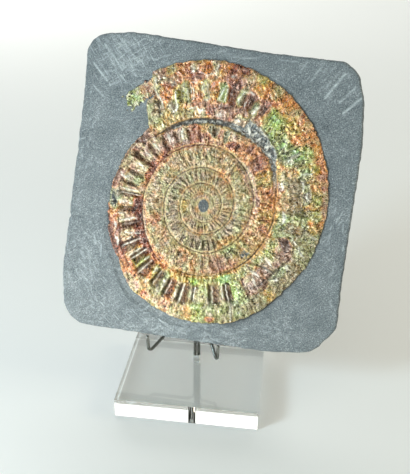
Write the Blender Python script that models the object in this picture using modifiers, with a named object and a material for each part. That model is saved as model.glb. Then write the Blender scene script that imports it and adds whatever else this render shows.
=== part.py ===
"""Ammonite in a thin shale slab that leans on a clear block stand with bent wires.

Lengths are in millimetres until a mesh is made. The stand's block sits on z = 0 and the slab's lower
edge runs along X. The slab and the shell are modelled flat, with x across the slab, y up the slab and
z out of its face, and then lean back together.
"""
import math

import bmesh
import bpy
from mathutils import Vector

MM = 0.001
TOUCH_GAP = 0.3  # left between pieces that touch

# Slab
LEAN_DEG = 22.0
SLAB_FOOT = (0.0, -7.3, 36.05)  # middle of the slab face's lower edge
SLAB_THICKNESS = 6.5
SLAB_EDGE_ROUND = 0.9
# corner x, corner y, corner rounding
SLAB_CORNERS = (
    (-72.6, 9.6, 14.0),
    (-65.0, 1.1, 12.0),
    (-20.0, 0.3, 60.0),
    (40.0, -0.3, 60.0),
    (63.5, 2.0, 14.0),
    (75.2, 16.5, 11.0),
    (75.2, 45.0, 150.0),
    (77.5, 110.0, 60.0),
    (76.0, 131.0, 30.0),
    (72.2, 145.2, 12.0),
    (64.5, 150.6, 10.0),
    (28.0, 152.2, 60.0),
    (-44.0, 158.6, 40.0),
    (-63.5, 156.4, 11.0),
    (-68.6, 149.0, 7.0),
    (-69.0, 122.0, 150.0),
    (-74.9, 28.0, 45.0),
)

# Shell: the groove between whorls follows a growth law in the angle around the coil, and the rim of
# the last whorl follows another. Angles are in degrees, counter-clockwise, and keep counting turn
# after turn.
COIL_CENTRE = (0.5, 72.7)
GROOVE_AT_ZERO = 9.6
GROOVE_GROWTH = 0.5479
GROOVE_SLOWING = 0.009
GROOVE_STRETCH = (0.037, 80.0)  # share, direction of the long axis
GROOVE_SHIFT = (0.026, 135.0)
GROOVE_SWELLS = ((955.0, 1.9, 17.0), (1118.0, 1.9, 16.0))  # angle, height, half width
RIM_AT_ZERO = 64.55
RIM_GROWTH = 0.4164
RIM_QUICKENING = 0.0689
RIM_STRETCH = (0.0445, 77.0)
RIM_SHIFT = (0.0185, -57.0)
RIM_SWELLS = ((-142.0, -1.2, 8.0), (-128.0, 1.3, 8.0), (-70.0, 0.8, 12.0), (-40.0, -0.8, 14.0))
OUTER_TURN_START = 1080.0  # the coil angle that is zero for the rim's law
COIL_START = -720.0
MOUTH_BREAK = 117.0  # where the last whorl's outer part is broken off, in rim angles
MOUTH_TIP = 130.0  # where its inner part ends
SAMPLES_PER_TURN = 144
RIBS_AT_ZERO = 6.08  # ribs between this and the rim angle zero, on the last whorl
RIBS_PER_DEGREE = 0.1072
RIB_CROWDING = 0.0000412  # the ribs crowd together towards the mouth
INNER_RIBS_PER_DEGREE = 0.1135
RIB_HEIGHT = 0.45
FULL_RIBS_FROM = 40.0  # radius past which the ribs have their full height
RIB_LEAN_DEG = 4.0  # how far a rib swings forward from groove to shoulder
SPANS_ACROSS = (1, 1, 2, 3, 5, 8)  # strips across a whorl, centre turn first
SHELL_BED = -2.2  # flat back of the shell, below the slab's face
RIM_HEIGHT = 0.45
CREST_BY_RADIUS = ((3.0, 0.9), (16.0, 1.3), (36.0, 1.9), (62.0, 2.5), (75.0, 2.9))
GROOVE_SHARE = 0.36  # groove height as a share of the crest height beside it
CENTRE_DISC_HEIGHT = 0.5
BARE_CRESCENT = (30.0, 104.0, 49.6, 1.15)  # from angle, to angle, outer radius, height of the bare matrix
FLAKE_POINTS = (  # angle, radius of the thin remnant past the break
    (112.0, 70.5), (120.0, 70.8), (124.0, 69.6), (128.0, 70.6), (131.0, 69.0),
    (131.3, 63.4), (127.5, 62.4), (124.0, 64.2), (120.5, 62.6), (112.0, 62.5),
)
FLAKE_LEVELS = (0.3, 0.75)
MOAT_ARC = (188.0, 292.0)  # shallow tooled ledge beside the shell
MOAT_WIDTH = 4.5
MOAT_DEPTH = 0.6

# Stand
BLOCK_SIZE = (76.0, 60.0, 11.1)
BLOCK_TURN_DEG = 4.5
BLOCK_EDGE_ROUND = 0.5
WIRE_DIAMETER = 1.8
STRAND_PITCH = WIRE_DIAMETER + TOUCH_GAP
POST_XY = (-1.3, 14.5)
WIRE_HOLE = 2.0 * WIRE_DIAMETER + 2.2 * TOUCH_GAP
WIRE_START_Z = 1.0
ARM_TOP_Z = 46.0
HOOK_X = (-23.1, 14.6)
HOOK_Y = -8.5
HOOK_LOW_Z = 25.8
PRONG_TIP_Z = 36.8
PRONG_SPLAY = 0.5
HOOK_BEND = 1.8
ARM_BEND = 3.5
REST_END_Z = 20.0
REST_OPEN_AT = 50.0  # up the slab's back, where the hairpin opens
REST_WIDE_AT = 64.0
REST_TOP_AT = 104.0
REST_HALF_WIDTH = 16.0
REST_CORNER = 10.0


def clear_scene():
    for old in list(bpy.data.objects):
        bpy.data.objects.remove(old, do_unlink=True)


def new_collection(name):
    group = bpy.data.collections.new(name)
    bpy.context.scene.collection.children.link(group)
    return group


def plain_material(name, colour, roughness, metallic=0.0, alpha=1.0):
    made = bpy.data.materials.new(name)
    made.use_nodes = True
    shader = made.node_tree.nodes["Principled BSDF"]
    shader.inputs["Base Color"].default_value = (*colour, 1.0)
    shader.inputs["Roughness"].default_value = roughness
    shader.inputs["Metallic"].default_value = metallic
    shader.inputs["Alpha"].default_value = alpha
    made.diffuse_color = (*colour, alpha)
    return made


def rounded_corner(before, corner, after, rounding, steps=7):
    """Points of an arc that rounds a corner between two straight runs."""
    corner = Vector(corner)
    back = (Vector(before) - corner).normalized()
    ahead = (Vector(after) - corner).normalized()
    half = back.angle(ahead) / 2.0
    reach = rounding / math.tan(half)
    middle = corner + (back + ahead).normalized() * rounding / math.sin(half)
    start = corner + back * reach - middle
    end = corner + ahead * reach - middle
    sweep = start.angle(end)
    points = []
    for step in range(steps):
        share = step / (steps - 1)
        weight_start = math.sin((1.0 - share) * sweep) / math.sin(sweep)
        weight_end = math.sin(share * sweep) / math.sin(sweep)
        points.append(middle + start * weight_start + end * weight_end)
    return points


def curve_object(name, points, closed, group, dimensions):
    data = bpy.data.curves.new(name, "CURVE")
    data.dimensions = dimensions
    spline = data.splines.new("POLY")
    spline.points.add(len(points) - 1)
    for target, point in zip(spline.points, points):
        target.co = (*(Vector(point).to_3d() * MM), 1.0)
    spline.use_cyclic_u = closed
    made = bpy.data.objects.new(name, data)
    group.objects.link(made)
    return made


def plate(name, outline, bottom, top, group):
    """A flat piece with the given outline between two heights, as a mesh."""
    flat = curve_object(name + "_outline", outline, True, group, "2D")
    flat.data.fill_mode = "BOTH"
    flat.data.extrude = (top - bottom) / 2.0 * MM
    mesh = bpy.data.meshes.new_from_object(flat.evaluated_get(bpy.context.evaluated_depsgraph_get()))
    bpy.data.objects.remove(flat, do_unlink=True)
    shape = bmesh.new()
    shape.from_mesh(mesh)
    bmesh.ops.remove_doubles(shape, verts=shape.verts, dist=0.00005)
    bmesh.ops.translate(shape, verts=shape.verts, vec=(0.0, 0.0, (top + bottom) / 2.0 * MM))
    shape.to_mesh(mesh)
    shape.free()
    made = bpy.data.objects.new(name, mesh)
    group.objects.link(made)
    return made


def add_bevel(piece, width, segments):
    bevel = piece.modifiers.new("rounded edges", "BEVEL")
    bevel.width = width * MM
    bevel.segments = segments
    bevel.limit_method = "ANGLE"
    bevel.angle_limit = math.radians(50.0)


def add_boolean(piece, tool, operation):
    cut = piece.modifiers.new(tool.name, "BOOLEAN")
    cut.operation = operation
    cut.solver = "EXACT"
    cut.object = tool
    tool.display_type = "WIRE"
    tool.hide_render = True


def lean_back(piece):
    piece.location = Vector(SLAB_FOOT) * MM
    piece.rotation_euler = (math.radians(90.0 - LEAN_DEG), 0.0, 0.0)


def ease(value, low, high):
    share = min(1.0, max(0.0, (value - low) / (high - low)))
    return share * share * (3.0 - 2.0 * share)


def swells_at(angle, swells):
    return sum(height * math.exp(-(((angle - at) / wide) ** 2)) for at, height, wide in swells)


def uneven(angle, stretch, shift):
    wave = stretch[0] * math.cos(2.0 * math.radians(angle - stretch[1]))
    return wave + shift[0] * math.cos(math.radians(angle - shift[1]))


def groove_radius(angle):
    turns = angle / 360.0
    law = GROOVE_GROWTH * turns - GROOVE_SLOWING * turns**3 + uneven(angle, GROOVE_STRETCH, GROOVE_SHIFT)
    return GROOVE_AT_ZERO * math.exp(law) + swells_at(angle, GROOVE_SWELLS)


def rim_radius(rim_angle):
    """Radius of the shell's rim; past the break the rim falls away in a ragged step."""
    turns = rim_angle / 360.0
    law = RIM_GROWTH * turns + RIM_QUICKENING * turns**2 + uneven(rim_angle, RIM_STRETCH, RIM_SHIFT)
    full = RIM_AT_ZERO * math.exp(law) + swells_at(rim_angle, RIM_SWELLS)
    broken = full - 12.0 * ease(rim_angle, MOUTH_BREAK - 1.0, MOUTH_BREAK + 2.5)
    return broken - 11.0 * ease(rim_angle, MOUTH_BREAK + 6.0, MOUTH_TIP + 1.0)


def outer_radius(angle):
    """Outer edge of the whorl at this coil angle: the next turn's groove, or the rim."""
    rim_angle = angle - OUTER_TURN_START
    if rim_angle > MOUTH_TIP - 360.0:
        return rim_radius(rim_angle)
    return groove_radius(angle + 360.0)


def crest_height(radius):
    for (near, low), (far, high) in zip(CREST_BY_RADIUS, CREST_BY_RADIUS[1:]):
        if radius <= far:
            return low + (high - low) * max(0.0, radius - near) / (far - near)
    return CREST_BY_RADIUS[-1][1]


def ribs_before(rim_angle):
    """How many ribs lie before this angle; a whole number is the bottom of a furrow."""
    start = MOUTH_TIP - 360.0
    last_whorl = max(rim_angle, start)
    count = RIBS_AT_ZERO + RIBS_PER_DEGREE * last_whorl + RIB_CROWDING * last_whorl**2
    return count + INNER_RIBS_PER_DEGREE * min(0.0, rim_angle - start)


def shell_height(angle, share, radius, outer):
    """Height of the shell over the slab's face, from groove (share 0) to outer edge (share 1)."""
    rim_angle = angle - OUTER_TURN_START
    on_rim = rim_angle > MOUTH_TIP - 360.0
    crest = crest_height(radius)
    inner_edge = crest * GROOVE_SHARE
    outer_edge = RIM_HEIGHT if on_rim else crest_height(outer) * GROOVE_SHARE
    foot = inner_edge + (outer_edge - inner_edge) * share
    arch = (1.0 - abs(2.0 * share - 1.0) ** 2.6) ** 0.7
    height = foot + (crest - foot) * arch
    rib = -math.cos(2.0 * math.pi * ribs_before(rim_angle - RIB_LEAN_DEG * share))
    flank_end = 0.78 if on_rim else 0.95
    flank = ease(share, 0.05, 0.2) * (1.0 - ease(share, flank_end - 0.15, flank_end))
    height += RIB_HEIGHT * min(1.0, radius / FULL_RIBS_FROM) * rib * flank
    start, stop, bare_radius, bare_height = BARE_CRESCENT
    if start < rim_angle < stop and radius < bare_radius - 4.5 * ease(rim_angle, 62.0, 72.0):
        height = bare_height
    return height


def loft_columns(shape, left, right):
    """Triangles between two rows of vertices that need not have the same number."""
    i = 0
    j = 0
    while i < len(left) - 1 or j < len(right) - 1:
        left_share = (i + 1) / (len(left) - 1) if i < len(left) - 1 else 2.0
        right_share = (j + 1) / (len(right) - 1) if j < len(right) - 1 else 2.0
        if left_share < right_share:
            corners = (left[i], left[i + 1], right[j])
            i += 1
        else:
            corners = (left[i], right[j + 1], right[j])
            j += 1
        if len(set(corners)) == 3:
            shape.faces.new(corners)


def build_shell_top(shape):
    """The spiral sheet: one row of vertices across the whorl for each step along the coil."""
    step = 360.0 / SAMPLES_PER_TURN
    count = round((OUTER_TURN_START + MOUTH_TIP - COIL_START) / step)
    last_rim_start = count - SAMPLES_PER_TURN
    rows = []
    inner_line = []
    for index in range(count + 1):
        angle = COIL_START + index * step
        inner = groove_radius(angle)
        outer = outer_radius(angle)
        turn_from_end = (count - index - 1) // SAMPLES_PER_TURN
        spans = SPANS_ACROSS[max(0, len(SPANS_ACROSS) - 1 - max(0, turn_from_end))]
        row = []
        for across in range(spans + 1):
            share = across / spans
            if across == 0 and index >= SAMPLES_PER_TURN:
                row.append(rows[index - SAMPLES_PER_TURN][-1])
                continue
            radius = inner + (outer - inner) * share
            height = shell_height(angle, share, radius, outer)
            where = math.radians(angle)
            x = COIL_CENTRE[0] + radius * math.cos(where)
            y = COIL_CENTRE[1] + radius * math.sin(where)
            row.append(shape.verts.new(Vector((x, y, height)) * MM))
        rows.append(row)
        inner_line.append(row[0])
    for near, far in zip(rows, rows[1:]):
        loft_columns(shape, near, far)
    centre = shape.verts.new(Vector((*COIL_CENTRE, CENTRE_DISC_HEIGHT)) * MM)
    ring = inner_line[: SAMPLES_PER_TURN + 1] + rows[0][-2:0:-1]
    for near, far in zip(ring, ring[1:] + ring[:1]):
        shape.faces.new((centre, near, far))
    rim = [row[-1] for row in rows[last_rim_start:]] + rows[-1][-2:0:-1]
    return rim


def close_shell(shape, rim):
    """Side wall and flat back."""
    low = [shape.verts.new((v.co.x, v.co.y, SHELL_BED * MM)) for v in rim]
    middle = shape.verts.new(Vector((*COIL_CENTRE, SHELL_BED)) * MM)
    size = len(rim)
    for index in range(size):
        after = (index + 1) % size
        shape.faces.new((rim[index], low[index], low[after]))
        shape.faces.new((rim[index], low[after], rim[after]))
        shape.faces.new((middle, low[after], low[index]))


def polar_point(angle, radius):
    where = math.radians(angle)
    return (COIL_CENTRE[0] + radius * math.cos(where), COIL_CENTRE[1] + radius * math.sin(where))


def build_ammonite(group, cutters, finish):
    shape = bmesh.new()
    rim = build_shell_top(shape)
    close_shell(shape, rim)
    bmesh.ops.recalc_face_normals(shape, faces=shape.faces)
    mesh = bpy.data.meshes.new("ammonite")
    shape.to_mesh(mesh)
    shape.free()
    shell = bpy.data.objects.new("ammonite", mesh)
    group.objects.link(shell)
    lean_back(shell)
    shell.data.materials.append(finish)
    flake_outline = [polar_point(*point) for point in FLAKE_POINTS]
    flake = plate("flake_form", flake_outline, *FLAKE_LEVELS, cutters)
    flake.data.materials.append(finish)
    lean_back(flake)
    add_boolean(shell, flake, "UNION")
    return shell


def rim_outline(offset):
    """The shell's outline, moved outward square to itself."""
    points = []
    step = 360.0 / SAMPLES_PER_TURN
    for index in range(SAMPLES_PER_TURN + 1):
        angle = MOUTH_TIP - 360.0 + index * step
        points.append(Vector(polar_point(angle, rim_radius(angle))))
    moved = []
    for index, point in enumerate(points):
        ahead = points[(index + 1) % len(points)] - point
        behind = point - points[index - 1]
        across = (ahead.normalized() + behind.normalized()).normalized()
        mitre = offset / max(0.6, across.dot(ahead.normalized()))
        moved.append(point + Vector((across.y, -across.x)) * mitre)
    return moved


def moat_outline():
    start, stop = MOAT_ARC
    outer = []
    inner = []
    steps = 30
    for index in range(steps + 1):
        share = index / steps
        angle = start + (stop - start) * share
        width = 0.6 + MOAT_WIDTH * math.sin(math.pi * share) ** 0.7
        edge = rim_radius(angle - 360.0)
        outer.append(polar_point(angle, edge + width))
        inner.append(polar_point(angle, edge - 2.0))
    return outer + inner[::-1]


def build_slab(group, cutters, finish):
    outline = []
    count = len(SLAB_CORNERS)
    for index, (x, y, rounding) in enumerate(SLAB_CORNERS):
        before = SLAB_CORNERS[index - 1][:2]
        after = SLAB_CORNERS[(index + 1) % count][:2]
        outline += rounded_corner((*before, 0.0), (x, y, 0.0), (*after, 0.0), rounding)
    slab = plate("shale_slab", outline, -SLAB_THICKNESS, 0.0, group)
    slab.data.materials.append(finish)
    lean_back(slab)
    add_bevel(slab, SLAB_EDGE_ROUND, 2)
    pocket = plate("shell_bed", rim_outline(TOUCH_GAP), SHELL_BED - TOUCH_GAP, 5.0, cutters)
    lean_back(pocket)
    add_boolean(slab, pocket, "DIFFERENCE")
    moat = plate("tooled_ledge", moat_outline(), -MOAT_DEPTH, 5.0, cutters)
    lean_back(moat)
    add_boolean(slab, moat, "DIFFERENCE")
    return slab


def build_block(group, cutters, finish):
    width, depth, height = BLOCK_SIZE
    bpy.ops.mesh.primitive_cube_add(size=1.0, location=(0.0, 0.0, height / 2.0 * MM))
    block = bpy.context.object
    block.name = "base_block"
    block.dimensions = Vector(BLOCK_SIZE) * MM
    block.rotation_euler.z = math.radians(BLOCK_TURN_DEG)
    block.data.materials.append(finish)
    add_bevel(block, BLOCK_EDGE_ROUND, 2)
    bpy.ops.mesh.primitive_cylinder_add(vertices=32, radius=WIRE_HOLE / 2.0 * MM, depth=0.03)
    drill = bpy.context.object
    drill.name = "wire_hole"
    drill.location = (POST_XY[0] * MM, POST_XY[1] * MM, 0.006)
    add_boolean(block, drill, "DIFFERENCE")
    for piece, home in ((block, group), (drill, cutters)):
        for old in list(piece.users_collection):
            old.objects.unlink(piece)
        home.objects.link(piece)
    return block


def bent_wire(name, route, bends, group, finish):
    """A round wire through the route's points, with an arc of the given radius at each bend."""
    points = [route[0]]
    for before, corner, after, rounding in zip(route, route[1:], route[2:], bends):
        points += rounded_corner(before, corner, after, rounding)
    points.append(route[-1])
    wire = curve_object(name, points, False, group, "3D")
    wire.data.bevel_depth = WIRE_DIAMETER / 2.0 * MM
    wire.data.bevel_resolution = 2
    wire.data.use_fill_caps = True
    wire.data.materials.append(finish)
    return wire


def hook_route(side):
    x = POST_XY[0] + (side - 0.5) * STRAND_PITCH
    foot = (x, POST_XY[1], WIRE_START_Z)
    knee = (x, POST_XY[1], ARM_TOP_Z)
    low = (HOOK_X[side], HOOK_Y, HOOK_LOW_Z)
    tip = (HOOK_X[side] + PRONG_SPLAY * (2 * side - 1), HOOK_Y, PRONG_TIP_Z)
    return (foot, knee, low, tip)


def behind_slab(x, up):
    """A point on the line where a wire lies along the slab's back."""
    lean = math.radians(LEAN_DEG)
    back = SLAB_THICKNESS + WIRE_DIAMETER / 2.0 + TOUCH_GAP
    y = SLAB_FOOT[1] + up * math.sin(lean) + back * math.cos(lean)
    z = SLAB_FOOT[2] + up * math.cos(lean) - back * math.sin(lean)
    return (x, y, z)


def back_rest_route():
    lean = math.radians(LEAN_DEG)
    y = POST_XY[1] + STRAND_PITCH
    meets = (y - behind_slab(0.0, 0.0)[1]) / math.sin(lean)
    left = []
    right = []
    for sign, half in ((-1, left), (1, right)):
        x = POST_XY[0] + sign * STRAND_PITCH / 2.0
        wide = POST_XY[0] + sign * REST_HALF_WIDTH
        half.append((x, y, REST_END_Z))
        half.append(behind_slab(x, meets))
        half.append(behind_slab(x, REST_OPEN_AT))
        half.append(behind_slab(wide, REST_WIDE_AT))
        half.append(behind_slab(wide, REST_TOP_AT))
    return left + right[::-1]


def build_wires(group, finish):
    for side, name in enumerate(("hook_wire_left", "hook_wire_right")):
        bent_wire(name, hook_route(side), (ARM_BEND, HOOK_BEND), group, finish)
    side_bends = (8.0, 4.0, 6.0, REST_CORNER)
    bent_wire("back_rest_wire", back_rest_route(), side_bends + side_bends[::-1], group, finish)


def main():
    clear_scene()
    group = new_collection("ammonite_fossil")
    cutters = new_collection("cutters")
    shale = plain_material("shale", (0.205, 0.250, 0.275), 0.75)
    nacre = plain_material("nacre", (0.420, 0.290, 0.130), 0.35)
    acrylic = plain_material("clear_acrylic", (0.860, 0.930, 0.890), 0.03, alpha=0.35)
    steel = plain_material("wire_steel", (0.560, 0.560, 0.540), 0.25, metallic=1.0)
    build_slab(group, cutters, shale)
    build_ammonite(group, cutters, nacre)
    build_block(group, cutters, acrylic)
    build_wires(group, steel)


main()
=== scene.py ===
"""Ammonite in a shale slab that leans on a clear block stand: finished surfaces, light and camera.

Lengths are in millimetres until a mesh is made. The slab and the shell are laid out flat, with x across
the slab, y up the slab and z out of its face, and then lean back together on the stand's wires.
"""
import math

import bpy
import numpy as np
from mathutils import Matrix, Vector


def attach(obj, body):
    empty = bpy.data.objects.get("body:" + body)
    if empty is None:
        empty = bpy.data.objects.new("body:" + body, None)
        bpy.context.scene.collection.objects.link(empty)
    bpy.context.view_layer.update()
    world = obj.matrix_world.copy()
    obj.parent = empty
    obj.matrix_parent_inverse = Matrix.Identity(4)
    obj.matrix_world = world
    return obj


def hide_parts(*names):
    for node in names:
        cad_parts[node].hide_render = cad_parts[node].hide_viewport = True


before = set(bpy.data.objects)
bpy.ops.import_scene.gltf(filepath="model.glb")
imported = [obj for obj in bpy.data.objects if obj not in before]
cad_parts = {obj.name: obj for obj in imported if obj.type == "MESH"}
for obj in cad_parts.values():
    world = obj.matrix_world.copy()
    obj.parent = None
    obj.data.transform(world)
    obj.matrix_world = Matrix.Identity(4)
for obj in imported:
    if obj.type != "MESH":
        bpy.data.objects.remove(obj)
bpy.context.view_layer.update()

MM = 0.001
TOUCH_GAP = 0.3  # left between pieces that touch

# ---------------------------------------------------------------- slab
LEAN_DEG = 22.0
SLAB_FOOT = (0.0, -7.3, 36.05)  # middle of the slab face's lower edge
SLAB_THICKNESS = 6.5
SLAB_EDGE_ROUND = 1.3
# corner x, corner y, corner rounding
SLAB_CORNERS = (
    (-72.6, 9.6, 14.0),
    (-65.0, 1.1, 12.0),
    (-20.0, 0.3, 60.0),
    (40.0, -0.3, 60.0),
    (63.5, 2.0, 14.0),
    (75.2, 16.5, 11.0),
    (75.2, 45.0, 150.0),
    (77.5, 110.0, 60.0),
    (76.0, 131.0, 30.0),
    (72.2, 145.2, 12.0),
    (64.5, 150.6, 10.0),
    (28.0, 152.2, 60.0),
    (-44.0, 158.6, 40.0),
    (-63.5, 156.4, 11.0),
    (-68.6, 149.0, 7.0),
    (-69.0, 122.0, 150.0),
    (-74.9, 28.0, 45.0),
)
SLAB_ROWS = 80  # rows of mesh across the face, from the shell to the edge
BACK_ROWS = 30  # and across the back, from the edge to the middle
POCKET_FLOOR = -2.6
LEDGE_START = 186.0  # angles at the coil's centre between which a ledge is tooled along the shell
LEDGE_END = 294.0
STEP_LINE = ((-75.0, 60.5), (-66.0, 60.0), (-59.6, 61.0), (-57.5, 56.0), (-54.4, 51.2))
# x, y, half width and depth of the larger chips in the edge
EDGE_CHIPS = ((-73.6, 60.0, 1.3, 0.9), (-71.5, 95.0, 2.5, 0.7))

# ---------------------------------------------------------------- shell
# angles are in degrees around the coil's centre; growth is per turn; a swell has its angle, height and width
COIL_CENTRE = (0.5, 72.7)
GROOVE_AT_ZERO = 9.6
GROOVE_GROWTH = 0.5479
GROOVE_SLOWING = 0.009
GROOVE_STRETCH = (0.037, 80.0)  # share, direction of the long axis
GROOVE_SHIFT = (0.026, 135.0)
GROOVE_SWELLS = ((955.0, 1.9, 17.0), (1118.0, 1.9, 16.0))
RIM_AT_ZERO = 64.55
RIM_GROWTH = 0.4164
RIM_QUICKENING = 0.0689
RIM_STRETCH = (0.0445, 77.0)
RIM_SHIFT = (0.0185, -57.0)
RIM_SWELLS = ((-142.0, -1.2, 8.0), (-128.0, 1.3, 8.0), (-70.0, 0.8, 12.0), (-40.0, -0.8, 14.0))
OUTER_TURN_START = 1080.0  # the coil angle that is zero for the rim's law
COIL_START = -720.0
MOUTH_BREAK = 117.0  # where the last whorl's outer part is broken off, in rim angles
MOUTH_TIP = 130.0  # where its inner part ends
MOUTH_FALLS = (12.0, 11.0)  # how far the rim falls at the break and at the tip
RIM_START = MOUTH_TIP - 360.0
REMNANT_END = 132.5  # of the thin remnant past the break
REMNANT_RADII = (62.3, 70.8)
REMNANT_MESH = ((113.0, 137.0, 72), (60.5, 72.5, 34))  # from, to and points: along in degrees, and out
SAMPLES_PER_TURN = 720
RIBS_AT_ZERO = 6.08  # ribs between RIM_START and the rim angle zero
RIBS_PER_DEGREE = 0.1072
RIB_CROWDING = 0.0000412  # the ribs crowd together towards the mouth
INNER_RIBS_PER_DEGREE = 0.1135
RIB_LEAN_DEG = 4.0  # how far a rib swings forward from groove to shoulder
FULL_RELIEF_RADIUS = 36.0  # past this the relief has its full height
DEEPEST_FURROW = 1.6
SPANS_ACROSS = (5, 7, 11, 16, 27, 56)  # mesh across each whorl, from the middle out
SHELL_BED = -2.2  # flat back of the shell, below the slab's face
WALL_LEVELS = (-0.4, SHELL_BED)
RIM_HEIGHT = 0.25
CREST_BY_RADIUS = ((3.0, 0.9), (16.0, 1.3), (36.0, 1.9), (62.0, 2.5), (75.0, 2.9))
GROOVE_SHARE = 0.36  # groove height as a share of the crest height beside it
CENTRE_DISC_HEIGHT = 0.5
CENTRE_DISC = ((2.85, 3.5), (2.6, 3.2))  # half width and half height: the end of the shell, and all grey
GREY_PAINT = {"bare": 1.0, "calm": 1.0, "hollow": 0.45, "from_seam": 3.0, "crack": 0.0}

# ---------------------------------------------------------------- stand
WIRE_DIAMETER = 1.8
STRAND_PITCH = WIRE_DIAMETER + TOUCH_GAP
POST_XY = (-1.3, 14.5)
WIRE_START_Z = 1.0
ARM_TOP_Z = 46.0
HOOK_X = (-23.1, 14.6)
HOOK_Y = -8.5
HOOK_LOW_Z = 25.8
PRONG_TIP_Z = 36.8
PRONG_SPLAY = 0.5
HOOK_BEND = 1.8
ARM_BEND = 3.5
REST_END_Z = 20.0
REST_OPEN_AT = 50.0  # up the slab's back, where the hairpin opens
REST_WIDE_AT = 64.0
REST_TOP_AT = 104.0
REST_HALF_WIDTH = 16.0
REST_BENDS = (8.0, 4.0, 6.0, 10.0)
TIP_ROUND = 0.45

# ---------------------------------------------------------------- room
FLOOR_SIZE = 7000.0
CAMERA_PLACE = (66.6, -298.32, 265.81)
CAMERA_TURN_DEG = 11.57
CAMERA_DOWN_DEG = 29.09
CAMERA_ROLL_DEG = 0.72
CAMERA_LENS = 53.165

# ---------------------------------------------------------------- plays of colour, as places on a rainbow
WINE = 0.0
COPPER = 0.14
ORANGE = 0.28
GOLD = 0.44
OLIVE = 0.58
LEAF = 0.74
TURQUOISE = 0.92


def tone(red, green, blue):
    """A colour in screen values, 0 to 255, as the linear colour that a shader takes."""
    linear = []
    for value in (red, green, blue):
        share = value / 255.0
        linear.append(share / 12.92 if share <= 0.04045 else ((share + 0.055) / 1.055) ** 2.4)
    return (*linear, 1.0)


RAINBOW = (
    (WINE, tone(96, 38, 22)),
    (COPPER, tone(172, 80, 42)),
    (ORANGE, tone(240, 148, 60)),
    (GOLD, tone(222, 178, 72)),
    (OLIVE, tone(178, 172, 66)),
    (LEAF, tone(158, 188, 72)),
    (0.88, tone(130, 192, 108)),
    (1.00, tone(130, 184, 156)),
)


# ---------------------------------------------------------------- random patches, the same in every run
LATTICE = np.random.default_rng(4207).random((256, 256))


def patchy(x, y, size, layer):
    """A smooth random field from about 0 to 1, with patches of the given size."""
    u = x / size + 37.7 * layer
    v = y / size + 91.3 * layer
    column = np.floor(u).astype(int)
    row = np.floor(v).astype(int)
    u = u - column
    v = v - row
    fade_u = u * u * u * (u * (6.0 * u - 15.0) + 10.0)
    fade_v = v * v * v * (v * (6.0 * v - 15.0) + 10.0)
    total = 0.0
    for i in (0, 1):
        for j in (0, 1):
            turn = 2.0 * math.pi * LATTICE[(column + i) % 256, (row + j) % 256]
            slope = np.cos(turn) * (u - i) + np.sin(turn) * (v - j)
            total = total + slope * (fade_u if i else 1 - fade_u) * (fade_v if j else 1 - fade_v)
    return 0.5 + 0.75 * total


def crinkle(x, y, size, layer):
    """Wavy ridges: 1 along their crests and 0 in the hollows between them."""
    bent_x = x + 0.5 * size * (patchy(x, y, size * 1.3, layer + 1) - 0.5)
    bent_y = y + 0.5 * size * (patchy(x, y, size * 1.3, layer + 2) - 0.5)
    return 1.0 - np.clip(np.abs(2.0 * patchy(bent_x, bent_y, size, layer) - 1.0) * 1.7, 0.0, 1.0)


def rough(x, y, size, layer, octaves=3):
    """Broken ground between about -1 and 1, finer and weaker from octave to octave."""
    total = 0.0
    reach = 0.0
    weight = 1.0
    for octave in range(octaves):
        total = total + (2.0 * patchy(x, y, size / 2.0**octave, layer + 5 * octave) - 1.0) * weight
        reach += weight
        weight *= 0.55
    return total / reach * 1.6


def flakes(x, y, size, layer):
    """For each point, a random level of the flake it lies on and its distance from that flake's edge."""
    u = x / size
    v = y / size
    column = np.floor(u).astype(int)
    row = np.floor(v).astype(int)
    nearest = np.full(x.shape, 9.0)
    second = np.full(x.shape, 9.0)
    level = np.zeros(x.shape)
    for i in (-1, 0, 1):
        for j in (-1, 0, 1):
            a = (column + i + 17 * layer) % 256
            b = (row + j + 29 * layer) % 256
            seed_x = column + i + LATTICE[a, b]
            seed_y = row + j + LATTICE[b, (a + 101) % 256]
            distance = np.hypot(u - seed_x, v - seed_y)
            closer = distance < nearest
            second = np.where(closer, nearest, np.minimum(second, distance))
            level = np.where(closer, LATTICE[(a + 53) % 256, (b + 7) % 256], level)
            nearest = np.where(closer, distance, nearest)
    return level, (second - nearest) * size


def ease(value, low, high):
    """0 below low, 1 above high, and eased between them."""
    share = np.clip((value - low) / (high - low), 0.0, 1.0)
    return share * share * (3.0 - 2.0 * share)


def fade(value, low, high):
    """1 below low, 0 above high, and eased between them."""
    return 1.0 - ease(value, low, high)


def bump_at(value, middle, half_width):
    """1 at the middle, and near 0 from about twice the half width on."""
    return np.exp(-(((value - middle) / half_width) ** 2))


def turn_from(angle, middle):
    """Angle from a middle one, between -180 and 180."""
    return (angle - middle + 180.0) % 360.0 - 180.0


def bump_round(angle, middle, half_width):
    """A bump on the circle of angles."""
    return bump_at(turn_from(angle, middle), 0.0, half_width)


def line_distance(x, y, points):
    """Distance from each point to a broken line, and the share along the line of the nearest place."""
    best = np.full(x.shape, 1e9)
    along = np.zeros(x.shape)
    runs = [math.dist(a, b) for a, b in zip(points, points[1:])]
    done = 0.0
    for (ax, ay), (bx, by), run in zip(points, points[1:], runs):
        share = np.clip(((x - ax) * (bx - ax) + (y - ay) * (by - ay)) / run**2, 0.0, 1.0)
        distance = np.hypot(x - ax - share * (bx - ax), y - ay - share * (by - ay))
        closer = distance < best
        best = np.where(closer, distance, best)
        along = np.where(closer, (done + share * run) / sum(runs), along)
        done += run
    return best, along


# ---------------------------------------------------------------- the shell's laws
def swells_at(angle, swells):
    """Single swellings and dents of a seam or of the rim."""
    return sum(height * bump_at(angle, at, wide) for at, height, wide in swells)


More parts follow.
